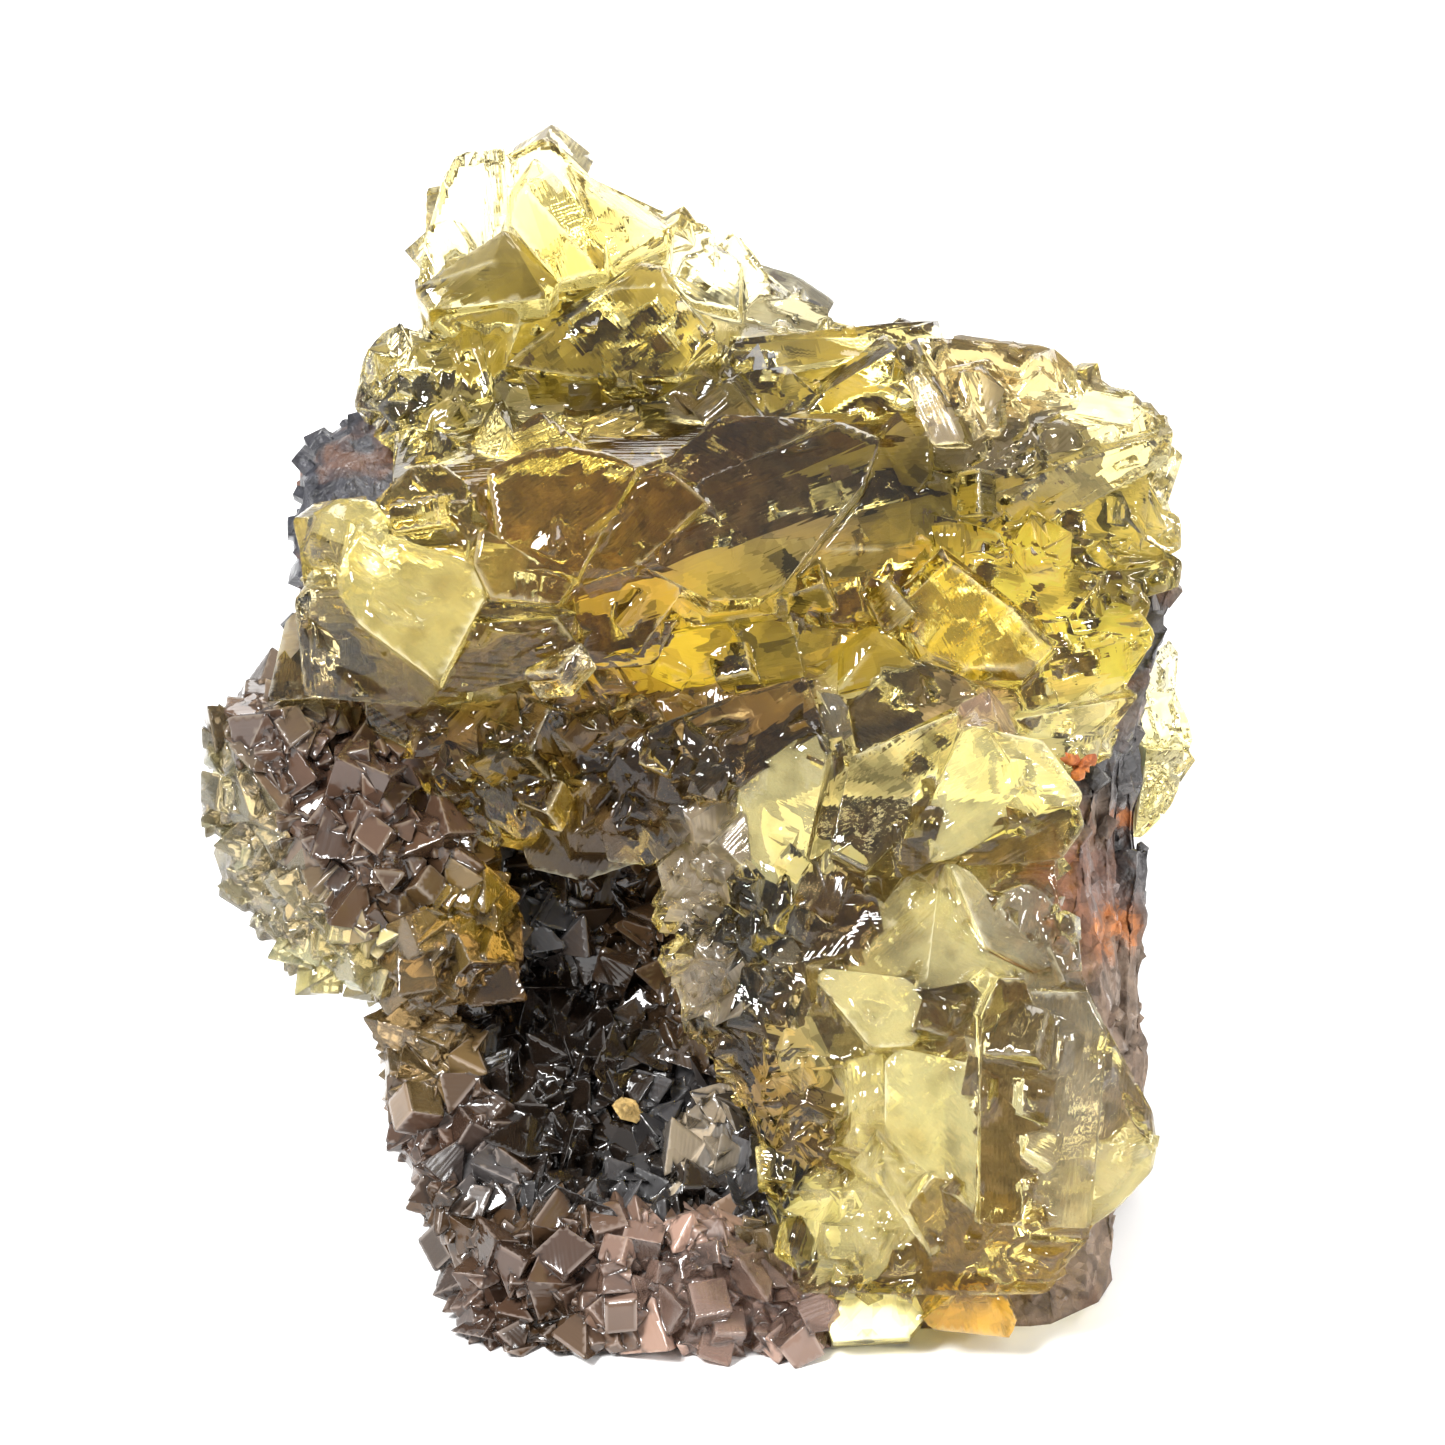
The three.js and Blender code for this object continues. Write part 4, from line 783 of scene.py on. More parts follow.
@dataclass(frozen=True)
class Look:
    """How one kind of crystal or rock looks.

    Attributes:
        colour: Red, green and blue.
        milk: How cloudy it is, from clear at 0 to opaque at 1.
        frost: How rough its faces are.
    """

    colour: tuple[float, float, float]
    milk: float
    frost: float


class Tint(Enum):
    """The kinds of crystal and rock that show on the specimen."""

    PALE = Look((0.97, 0.92, 0.74), 0.04, 0.04)
    CREAM = Look((0.98, 0.88, 0.54), 0.11, 0.05)
    LEMON = Look((0.98, 0.79, 0.2), 0.11, 0.04)
    GLOW = Look((1.0, 0.85, 0.3), 0.2, 0.03)
    STRAW = Look((0.99, 0.88, 0.4), 0.2, 0.04)
    GOLD = Look((0.98, 0.7, 0.08), 0.1, 0.03)
    AMBER = Look((0.86, 0.54, 0.06), 0.09, 0.03)
    ORANGE = Look((0.88, 0.5, 0.1), 0.16, 0.09)
    OLIVE = Look((0.36, 0.27, 0.045), 0.06, 0.04)
    DEEP = Look((0.07, 0.05, 0.008), 0.14, 0.04)
    GREY = Look((0.27, 0.24, 0.18), 0.12, 0.11)
    VIOLET = Look((0.13, 0.11, 0.12), 0.16, 0.13)
    SILVER = Look((0.6, 0.49, 0.35), 0.18, 0.2)
    SMOKE = Look((0.2, 0.11, 0.04), 0.12, 0.06)
    QUARTZ = Look((0.065, 0.036, 0.024), 0.34, 0.05)
    TAN = Look((0.5, 0.34, 0.13), 0.12, 0.08)
    UMBER = Look((0.055, 0.03, 0.014), 0.5, 0.06)
    SOOT = Look((0.014, 0.009, 0.006), 0.85, 0.05)
    STEEL = Look((0.06, 0.058, 0.06), 0.8, 0.12)
    PINK = Look((0.42, 0.27, 0.21), 0.25, 0.08)
    BASALT = Look((0.05, 0.047, 0.045), 1.0, 0.5)
    INK = Look((0.022, 0.025, 0.034), 1.0, 0.32)
    EARTH = Look((0.17, 0.12, 0.085), 1.0, 0.75)
    RUST = Look((0.2, 0.085, 0.045), 1.0, 0.75)
    BLOOD = Look((0.13, 0.035, 0.025), 1.0, 0.5)
    IRON = Look((0.46, 0.15, 0.03), 1.0, 0.8)


@dataclass(frozen=True)
class Zone:
    """A stretch of the display face with one tint.

    Attributes:
        across: The middle of the zone to the right.
        up: The middle of the zone up the face.
        reach: How far its tint carries.
        tint: Its tint.
    """

    across: float
    up: float
    reach: float
    tint: Tint


@dataclass
class Paint:
    """The tint, milk and frost of each face of a shape."""

    colour: np.ndarray
    milk: np.ndarray
    frost: np.ndarray

    @classmethod
    def from_zones(cls, zones: Sequence[Zone], ground: Tint, places: np.ndarray) -> "Paint":
        """Blends the looks of the zones by their nearness to each place.

        A zone's weight falls off as the bell curve of its distance over its reach, and the ground
        tint has a small weight everywhere.

        Args:
            zones: The zones.
            ground: The tint where no zone is near.
            places: Across, up and out of each face.

        Returns:
            The paint of each face.
        """
        middles = np.array([[zone.across, zone.up] for zone in zones], np.float32)
        reaches = np.array([zone.reach for zone in zones], np.float32)
        gaps = places[:, None, :2].astype(np.float32) - middles
        weight = np.exp(-(gaps**2).sum(axis=2) / reaches**2)
        weight = np.column_stack([weight, np.full(len(places), 0.02, np.float32)])
        weight /= weight.sum(axis=1, keepdims=True)
        looks = [zone.tint.value for zone in zones] + [ground.value]
        return cls(
            weight @ np.array([look.colour for look in looks]),
            weight @ np.array([look.milk for look in looks]),
            weight @ np.array([look.frost for look in looks]),
        )


def finished(
    name: str, shape: Shape, paint: Paint, material: bpy.types.Material, least: float = 0.0
) -> bpy.types.Object:
    """Places a shape in the frame and gives it its paint, its facet coordinates and its finish.

    The UV map holds each corner's place in the plane of its own facet, in millimetres, with U along
    the facet's longest edge.

    Args:
        name: The piece's name.
        shape: Its shape on the display face.
        paint: Its paint.
        material: Its finish.
        least: How large the facets beside an edge with painted highlight, or a seam with painted shade, must be.

    Returns:
        The piece.
    """
    edges = Edges.of(shape)
    facets = Facets.of(shape, edges)
    mesh = mesh_of(name, FACE.place(kept_inside(shape.points)), shape)
    mesh.attributes.remove(mesh.attributes["facet"])
    # Outer edges get 1 for worn frosting and a painted highlight, and seams get -1 for painted shade.
    wear_glint_and_seam_shade = wear_glint_and_seam_shade_of(shape, edges, facets, least).astype(np.float32)
    mesh.attributes.new("wear_glint_and_seam_shade", "FLOAT", "POINT").data.foreach_set("value", wear_glint_and_seam_shade)
    colour = np.column_stack([np.clip(paint.colour, 0.0, 1.0), np.ones(len(shape.faces))])
    tint = mesh.attributes.new("tint", "FLOAT_COLOR", "FACE")
    tint.data.foreach_set("color", colour.astype(np.float32).ravel())
    for key, values in (("milk", paint.milk), ("frost", paint.frost)):
        limited = np.clip(values, 0.0, 1.0).astype(np.float32)
        mesh.attributes.new(key, "FLOAT", "FACE").data.foreach_set("value", limited)
    corners = shape.points[shape.faces]
    along = facets.along[facets.row][:, None]
    beside = np.cross(facets.normal, facets.along)[facets.row][:, None]
    plane = np.stack([(corners * along).sum(axis=2), (corners * beside).sum(axis=2)], axis=2)
    plane += 40.0 * np.sin(facets.row[:, None, None] * np.array([1.7, 2.9]))
    mesh.uv_layers.new(name="facet").data.foreach_set("uv", plane.astype(np.float32).ravel())
    mesh.materials.append(material)
    return object_of(mesh)


def settle(piece: bpy.types.Object, node: str) -> None:
    """Lets a piece ride on the specimen's body and stand for its node.

    Args:
        piece: The piece.
        node: The node that it replaces.
    """
    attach(piece, BODY)
    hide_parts(node)
    LOG.info("%s: %d triangles for node %s", piece.name, len(piece.data.polygons), node)


# Shader nodes


class Wire:
    """An output of a node that Python's operators work on.

    Numbers go through Math nodes, and colours and vectors through Vector Math nodes.
    """

    def __init__(self, nodes: "NodeSet", socket: bpy.types.NodeSocket) -> None:
        """Wraps a socket.

        Args:
            nodes: The node set that it belongs to.
            socket: The output.
        """
        self.nodes = nodes
        self.socket = socket

    def _with(self, operation: str, left: "Value", right: "Value") -> "Wire":
        """Adds the node of one operation.

        Args:
            operation: The operation's name.
            left: The first value.
            right: The second value.

        Returns:
            The result.
        """
        wide = any(
            isinstance(item, tuple) or (isinstance(item, Wire) and item.socket.type != "VALUE")
            for item in (left, right)
        )
        kind = "ShaderNodeVectorMath" if wide else "ShaderNodeMath"
        return self.nodes.add(kind, {"operation": operation}, {0: left, 1: right})

    def __add__(self, other: "Value") -> "Wire":
        """The sum."""
        return self._with("ADD", self, other)

    __radd__ = __add__

    def __mul__(self, other: "Value") -> "Wire":
        """The product."""
        return self._with("MULTIPLY", self, other)

    __rmul__ = __mul__

    def __sub__(self, other: "Value") -> "Wire":
        """The difference."""
        return self._with("SUBTRACT", self, other)

    def __rsub__(self, other: "Value") -> "Wire":
        """The difference, the other way round."""
        return self._with("SUBTRACT", other, self)

    def __pow__(self, other: "Value") -> "Wire":
        """The power."""
        return self._with("POWER", self, other)


Value = Wire | float | tuple


class NodeSet:
    """The nodes of one material or world."""

    def __init__(self, owner: bpy.types.Material | bpy.types.World) -> None:
        """Empties the owner's node tree.

        Args:
            owner: A new material or world.
        """
        self.owner = owner
        owner.use_nodes = True
        self.tree = owner.node_tree
        self.tree.nodes.clear()

    @staticmethod
    def _socket(sockets: Sequence[bpy.types.NodeSocket], key: int | str) -> bpy.types.NodeSocket:
        """Finds a socket by its place, identifier or name."""
        if isinstance(key, int):
            return sockets[key]
        return next(socket for socket in sockets if key in (socket.identifier, socket.name))

    def node(self, kind: str, settings: dict, inputs: dict) -> bpy.types.Node:
        """Makes a node.

        Args:
            kind: The node's type.
            settings: Its settings, which are set first.
            inputs: The values or wires of its sockets.

        Returns:
            The node.
        """
        node = self.tree.nodes.new(kind)
        for key, value in settings.items():
            setattr(node, key, value)
        for key, value in inputs.items():
            socket = self._socket(node.inputs, key)
            if isinstance(value, Wire):
                self.tree.links.new(value.socket, socket)
            elif socket.type == "RGBA":
                socket.default_value = (*value[:3], 1.0)
            elif socket.type == "VECTOR" and not isinstance(value, tuple):
                socket.default_value = (value, value, value)
            else:
                socket.default_value = value
        return node

    def add(self, kind: str, settings: dict, inputs: dict, output: int | str = 0) -> Wire:
        """Makes a node and hands over one of its outputs.

        Args:
            kind: The node's type.
            settings: Its settings.
            inputs: The values or wires of its sockets.
            output: Which output is wanted.

        Returns:
            That output.
        """
        return Wire(self, self._socket(self.node(kind, settings, inputs).outputs, output))

    def attribute(self, name: str, output: str = "Fac") -> Wire:
        """A face attribute of the piece."""
        return self.add("ShaderNodeAttribute", {"attribute_name": name}, {}, output)

    def place(self) -> Wire:
        """The place on the piece, in millimetres."""
        return self.add("ShaderNodeTexCoord", {}, {}, "Object") * (1000.0, 1000.0, 1000.0)

    def facet_place(self, along: float, beside: float) -> Wire:
        """The place in the facet's own plane, drawn out along and beside its longest edge."""
        return self.add("ShaderNodeUVMap", {"uv_map": "facet"}, {}) * (along, beside, 1.0)

    def noise(self, place: Wire, scale: float, detail: float = 3.0, bend: float = 0.0) -> Wire:
        """Smooth noise between 0 and 1.

        Args:
            place: Where it is read.
            scale: How many of its waves fit in one unit.
            detail: How many finer octaves it has.
            bend: How much it is distorted.

        Returns:
            The noise.
        """
        inputs = {"Vector": place, "Scale": scale, "Detail": detail, "Distortion": bend}
        return self.add("ShaderNodeTexNoise", {}, inputs)

    def cells(self, place: Wire, scale: float, metric: str, output: str = "Distance") -> Wire:
        """Cell noise.

        Args:
            place: Where it is read.
            scale: How many cells fit in one unit.
            metric: How distance is measured.
            output: Distance or colour.

        Returns:
            The distance to the cell's point, or the cell's colour.
        """
        settings = {"distance": metric}
        return self.add("ShaderNodeTexVoronoi", settings, {"Vector": place, "Scale": scale}, output)

    def ramp(self, value: Wire, low: float, high: float, start: float = 0.0, end: float = 1.0) -> Wire:
        """Maps a range of a value onto another, held at its ends.

        Args:
            value: The value.
            low: Where the range begins.
            high: Where it ends.
            start: The result at its beginning.
            end: The result at its end.

        Returns:
            The result.
        """
        inputs = {"Value": value, "From Min": low, "From Max": high, "To Min": start, "To Max": end}
        return self.add("ShaderNodeMapRange", {}, inputs)

    def mix(self, first: Value, second: Value, share: Value) -> Wire:
        """Mixes two colours.

        Args:
            first: The colour at a share of 0.
            second: The colour at a share of 1.
            share: How much of the second.

        Returns:
            The colour.
        """
        inputs = {"Factor_Float": share, "A_Color": first, "B_Color": second}
        return self.add("ShaderNodeMix", {"data_type": "RGBA"}, inputs, "Result_Color")

    def bump(self, height: Wire, distance: float, before: Wire | None = None) -> Wire:
        """Turns a height into a normal.

        Args:
            height: The height.
            distance: What a height of 1 is in millimetres.
            before: A normal that it is added to.

        Returns:
            The normal.
        """
        inputs: dict = {"Height": height, "Distance": distance * MILLIMETRE}
        if before is not None:
            inputs["Normal"] = before
        return self.add("ShaderNodeBump", {}, inputs)

    def principled(self, inputs: dict) -> Wire:
        """The main surface shader."""
        return self.add("ShaderNodeBsdfPrincipled", {}, inputs)

    def done(self, surface: Wire, volume: Wire | None = None) -> bpy.types.Material:
        """Connects the shaders to the material's output.

        Args:
            surface: The surface shader.
            volume: The volume shader, if any.

        Returns:
            The material.
        """
        inputs = {"Surface": surface} if volume is None else {"Surface": surface, "Volume": volume}
        self.node("ShaderNodeOutputMaterial", {}, inputs)
        return self.owner


# Finishes


@dataclass(frozen=True)
class CrystalFinish:
    """Clear to cloudy crystal with growth lines.

    Attributes:
        name: The material's name.
        absorb: The colour that white light keeps on its way through.
        density: How fast it takes that colour, per metre.
        ior: How strongly it bends light.
        edge_wear_and_glint: The colour of its outer edges, for worn frosting and a painted highlight.
        worn: How much of that colour they take.
        relief: The height of the growth lines in millimetres.
        clearness: The power that lightens the tint of light that goes through.
        wisps: How strongly dark veils show.
    """

    name: str
    absorb: tuple[float, float, float]
    density: float
    ior: float = 1.434
    edge_wear_and_glint: tuple[float, float, float] = (0.97, 0.93, 0.72)
    worn: float = 0.55
    relief: float = 0.05
    clearness: float = 0.55
    wisps: float = 0.15

    def material(self) -> bpy.types.Material:
        """Builds the material.

        Returns:
            The material.
        """
        nodes = NodeSet(bpy.data.materials.new(self.name))
        place = nodes.place()
        tint = nodes.attribute("tint", "Color")
        drift = nodes.noise(place, 0.45, 1.0)
        shade = 1.0 - nodes.ramp(drift, 0.5, 0.72) * self.wisps
        wear_glint_and_seam_shade = nodes.attribute("wear_glint_and_seam_shade")
        edge_wear_and_glint = nodes.ramp(wear_glint_and_seam_shade, 0.0, 1.0)
        # Painted highlight: outer edges are lightened towards the edge colour, on top of their worn frosting.
        colour = nodes.mix(tint * shade, self.edge_wear_and_glint, edge_wear_and_glint * self.worn)
        # Painted shade: seams are darkened to 0.45 of their tint.
        colour = colour * nodes.ramp(wear_glint_and_seam_shade, -1.0, 0.0, 0.45, 1.0)
        frost = nodes.attribute("frost")
        lines = nodes.noise(nodes.facet_place(0.35, 4.5), 1.0, 0.0)
        normal = nodes.bump(lines * (frost * 4.0 + 0.5), self.relief)
        roughness = frost * nodes.ramp(drift, 0.45, 0.7, 1.0, 1.6) + edge_wear_and_glint * (0.1 * self.worn)
        milk = nodes.attribute("milk")
        milk = milk * (milk + (1.0 - milk) * nodes.ramp(drift, 0.3, 0.6, 0.6, 1.4))
        milk = milk + edge_wear_and_glint * (0.3 * self.worn)
        thin = nodes.add("ShaderNodeGamma", {}, {"Color": colour, "Gamma": self.clearness})
        clear = nodes.principled({
            "Base Color": thin, "Roughness": roughness, "IOR": self.ior, "Transmission Weight": 1.0,
            "Normal": normal,
        })
        cloudy = nodes.principled({
            "Base Color": colour, "Roughness": roughness + 0.05, "IOR": self.ior, "Normal": normal,
        })
        surface = nodes.add("ShaderNodeMixShader", {}, {0: milk, 1: clear, 2: cloudy})
        volume = nodes.add("ShaderNodeVolumeAbsorption", {}, {"Color": self.absorb, "Density": self.density})
        return nodes.done(surface, volume)


@dataclass(frozen=True)
class RockFinish:
    """Dull rock with mineral grains, stains and a fine sparkle.

    Attributes:
        name: The material's name.
        stain: The colour of the stains.
        grain: How many mineral grains there are in a millimetre.
        relief: The height of the roughness in millimetres.
    """

    name: str
    stain: tuple[float, float, float]
    grain: float = 1.4
    relief: float = 0.25

    def material(self) -> bpy.types.Material:
        """Builds the material.

        Returns:
            The material.
        """
        nodes = NodeSet(bpy.data.materials.new(self.name))
        place = nodes.place()
        tint = nodes.attribute("tint", "Color")
        mottle = nodes.ramp(nodes.noise(place, 0.6, 8.0, 0.4), 0.3, 0.7, 0.55, 1.5)
        grains = nodes.cells(place, self.grain, "EUCLIDEAN", "Color")
        lightness = nodes.add("ShaderNodeSeparateColor", {}, {0: grains}, 0)
        colour = tint * mottle * nodes.ramp(lightness, 0.0, 1.0, 0.7, 1.35)
        stains = nodes.ramp(nodes.noise(place, 0.22, 7.0, 1.0), 0.56, 0.68, 0.0, 0.55)
        colour = nodes.mix(colour, self.stain, stains)
        shine = nodes.ramp(lightness, 0.82, 0.9, 0.0, 1.0)
        roughness = nodes.attribute("frost") * (1.0 - shine * 0.7)
        normal = nodes.bump(nodes.noise(place, 1.1, 9.0, 0.3), self.relief * 2.0)
        normal = nodes.bump(lightness, self.relief * 0.4, normal)
        surface = nodes.principled({"Base Color": colour, "Roughness": roughness, "Normal": normal})
        return nodes.done(surface)


@dataclass(frozen=True)
class FloorFinish:
    """Matt white board."""

    name: str = "white_board"
    colour: tuple[float, float, float] = (0.9, 0.9, 0.9)

    def material(self) -> bpy.types.Material:
        """Builds the material.

        Returns:
            The material.
        """
        nodes = NodeSet(bpy.data.materials.new(self.name))
        fleck = nodes.ramp(nodes.noise(nodes.place(), 0.05, 2.0), 0.0, 1.0, 0.98, 1.0)
        return nodes.done(nodes.principled({"Base Color": fleck * self.colour, "Roughness": 0.9}))


# The crystal masses

FRONT_ZONES = [
    # The top
    Zone(-16.8, 73.0, 3.0, Tint.PALE), Zone(-11.0, 75.6, 2.4, Tint.CREAM), Zone(-9.6, 69.6, 1.8, Tint.GOLD),
    Zone(-12.6, 71.6, 1.6, Tint.LEMON), Zone(-6.6, 71.6, 2.2, Tint.OLIVE), Zone(-4.0, 69.8, 1.6, Tint.CREAM),
    Zone(-18.2, 69.4, 1.8, Tint.PALE), Zone(0.2, 68.0, 2.6, Tint.PALE), Zone(-1.6, 70.6, 1.6, Tint.CREAM),
    # The olive row
    Zone(-14.6, 67.8, 2.2, Tint.DEEP), Zone(-19.2, 65.8, 1.2, Tint.SILVER), Zone(-15.4, 64.4, 2.0, Tint.OLIVE),
    Zone(-5.6, 65.4, 3.4, Tint.OLIVE), Zone(-3.2, 63.2, 1.4, Tint.LEMON), Zone(-6.4, 59.8, 2.2, Tint.DEEP),
    Zone(-1.2, 60.2, 1.6, Tint.UMBER), Zone(-21.0, 62.0, 2.4, Tint.CREAM), Zone(-16.4, 61.4, 1.8, Tint.OLIVE),
    Zone(-18.4, 57.4, 2.4, Tint.OLIVE), Zone(-13.6, 57.4, 1.6, Tint.GREY), Zone(-10.4, 56.6, 1.4, Tint.SMOKE),
    Zone(-6.8, 57.8, 1.4, Tint.SMOKE), Zone(2.6, 60.0, 2.0, Tint.OLIVE), Zone(-1.4, 57.6, 1.4, Tint.GREY),
    # The upper right
    Zone(4.2, 65.0, 2.2, Tint.GREY), Zone(8.0, 62.8, 2.6, Tint.OLIVE), Zone(12.6, 64.2, 1.6, Tint.GREY),
    Zone(8.6, 58.8, 2.4, Tint.GOLD), Zone(11.0, 60.2, 1.4, Tint.DEEP), Zone(13.8, 58.8, 1.3, Tint.SILVER),
    Zone(16.8, 59.6, 1.4, Tint.GREY), Zone(18.4, 61.8, 3.0, Tint.TAN), Zone(24.4, 58.8, 2.8, Tint.CREAM),
    Zone(19.4, 55.4, 2.6, Tint.VIOLET), Zone(22.0, 53.6, 2.6, Tint.OLIVE), Zone(28.8, 54.0, 1.6, Tint.PALE),
    Zone(24.8, 52.4, 2.2, Tint.LEMON), Zone(20.0, 50.8, 1.8, Tint.GOLD), Zone(15.4, 52.4, 1.8, Tint.DEEP),
    Zone(11.4, 54.4, 2.2, Tint.DEEP), Zone(14.0, 50.6, 2.2, Tint.OLIVE), Zone(26.0, 56.2, 2.0, Tint.OLIVE),
    # The grey leaf
    Zone(-1.4, 49.8, 2.2, Tint.TAN), Zone(1.8, 51.4, 2.6, Tint.GREY), Zone(6.0, 54.2, 2.6, Tint.VIOLET),
    Zone(0.4, 56.6, 2.0, Tint.SMOKE),
    # The amber group
    Zone(-10.2, 52.0, 2.8, Tint.AMBER), Zone(-10.6, 55.4, 1.4, Tint.GOLD), Zone(-6.8, 52.0, 1.8, Tint.GOLD),
    Zone(-19.0, 46.0, 3.0, Tint.GLOW), Zone(-21.6, 50.2, 2.0, Tint.GLOW), Zone(-18.0, 53.6, 2.0, Tint.AMBER),
    Zone(-23.0, 43.0, 2.2, Tint.TAN), Zone(-26.8, 44.0, 1.2, Tint.SILVER), Zone(-25.0, 49.4, 1.4, Tint.CREAM),
    Zone(-12.6, 48.8, 1.6, Tint.CREAM), Zone(-13.0, 43.4, 2.2, Tint.LEMON), Zone(-3.0, 52.0, 1.8, Tint.AMBER),
    Zone(-5.4, 46.8, 2.2, Tint.AMBER), Zone(-1.6, 43.4, 1.8, Tint.GOLD), Zone(2.8, 43.4, 1.6, Tint.OLIVE),
    # The centre
    Zone(0.6, 46.0, 1.6, Tint.GOLD), Zone(8.2, 47.6, 2.0, Tint.AMBER), Zone(15.0, 46.2, 2.8, Tint.GOLD),
    Zone(12.4, 45.0, 1.3, Tint.LEMON), Zone(9.8, 43.2, 1.4, Tint.OLIVE), Zone(12.2, 41.0, 1.8, Tint.GREY),
    Zone(16.4, 39.6, 1.3, Tint.PINK), Zone(7.4, 39.2, 1.2, Tint.PALE),
    # The right flank
    Zone(19.6, 47.6, 2.2, Tint.LEMON), Zone(24.0, 47.0, 1.5, Tint.DEEP), Zone(26.6, 49.2, 1.8, Tint.OLIVE),
    Zone(22.6, 43.4, 2.8, Tint.LEMON), Zone(22.6, 39.2, 2.0, Tint.PALE),
    # The lower mass
    Zone(11.0, 36.4, 2.6, Tint.CREAM), Zone(9.8, 33.6, 1.2, Tint.GREY), Zone(11.6, 31.8, 1.4, Tint.OLIVE),
    Zone(15.6, 34.8, 2.4, Tint.STRAW), Zone(19.8, 36.2, 2.0, Tint.STRAW), Zone(18.6, 32.0, 2.0, Tint.LEMON),
    Zone(7.6, 27.4, 1.6, Tint.SMOKE), Zone(6.0, 32.0, 1.2, Tint.CREAM), Zone(15.2, 26.0, 2.6, Tint.STRAW),
    Zone(13.4, 23.6, 1.4, Tint.DEEP), Zone(18.6, 26.4, 1.8, Tint.PALE), Zone(9.4, 21.6, 1.8, Tint.STRAW),
    Zone(15.0, 19.6, 1.0, Tint.CREAM), Zone(17.8, 15.0, 2.2, Tint.CREAM), Zone(21.2, 17.2, 1.6, Tint.PALE),
    Zone(24.6, 16.0, 2.0, Tint.CREAM), Zone(25.0, 11.2, 2.0, Tint.STRAW), Zone(13.6, 15.6, 2.2, Tint.STRAW),
    Zone(17.6, 7.0, 2.8, Tint.GOLD), Zone(19.4, 11.0, 1.8, Tint.CREAM), Zone(11.4, 11.0, 1.8, Tint.STRAW),
    Zone(7.8, 8.2, 2.0, Tint.STRAW), Zone(5.0, 15.0, 1.6, Tint.TAN), Zone(9.2, 16.0, 1.4, Tint.STRAW),
    Zone(6.2, 20.6, 1.6, Tint.CREAM), Zone(9.4, 3.4, 2.2, Tint.LEMON), Zone(15.6, 2.8, 1.6, Tint.ORANGE),
    # The ridge down to the hollow
    Zone(4.0, 33.4, 2.0, Tint.STRAW), Zone(2.4, 38.8, 2.6, Tint.SMOKE), Zone(-4.4, 40.4, 2.0, Tint.SMOKE),
    Zone(-0.6, 32.4, 1.6, Tint.SILVER), Zone(-1.4, 28.6, 1.6, Tint.SILVER), Zone(3.4, 26.2, 1.4, Tint.GREY),
    Zone(-0.8, 22.4, 1.8, Tint.SILVER), Zone(4.0, 22.0, 1.6, Tint.TAN), Zone(0.8, 18.2, 1.8, Tint.SMOKE),
    # The brown shelf over the hollow
    Zone(-12.6, 39.0, 2.2, Tint.SMOKE), Zone(-8.6, 41.0, 1.8, Tint.SMOKE), Zone(-7.0, 37.6, 1.8, Tint.SMOKE),
    Zone(-12.4, 34.2, 2.0, Tint.AMBER), Zone(-5.0, 34.0, 2.2, Tint.SMOKE), Zone(-17.2, 38.0, 1.8, Tint.SMOKE),
    Zone(-15.4, 33.6, 1.6, Tint.AMBER), Zone(-20.0, 39.6, 1.8, Tint.TAN), Zone(-9.2, 31.4, 2.0, Tint.UMBER),
]
BACK_ZONES = [
    Zone(28.4, 41.6, 2.6, Tint.PALE), Zone(28.8, 38.4, 2.0, Tint.LEMON), Zone(28.0, 34.6, 0.9, Tint.SMOKE),
    Zone(29.4, 35.6, 1.0, Tint.SILVER), Zone(27.0, 33.0, 1.8, Tint.LEMON),
]


@dataclass(frozen=True)
class Patch:
    """A stretch of the display face where small crystals grow on the large ones' facets.

    Attributes:
        across: The middle of the patch to the right.
        up: The middle of the patch up the face.
        reach: Its radius.
        count: How many crystals are tried.
        large: The size of the largest one.
    """

    across: float
    up: float
    reach: float
    count: int
    large: float


FRONT_PATCHES = [
    # The brown shelf over the hollow
    Patch(-9.0, 37.0, 5.5, 150, 2.2), Patch(-16.5, 36.5, 3.5, 60, 1.8), Patch(-3.0, 36.0, 4.5, 90, 2.0),
    # The frosted flank and the foot of the ridge
    Patch(-1.0, 25.5, 5.0, 120, 1.4), Patch(1.5, 17.5, 4.0, 80, 1.5),
    # The lower mass
    Patch(6.0, 12.5, 4.5, 90, 2.0), Patch(9.0, 5.5, 3.5, 50, 1.8), Patch(20.0, 27.0, 2.6, 30, 1.6),
    # The left edge and the upper right
    Patch(-19.5, 60.0, 4.0, 60, 1.6), Patch(20.5, 59.5, 6.0, 80, 2.0), Patch(26.5, 46.5, 3.5, 40, 1.6),
]


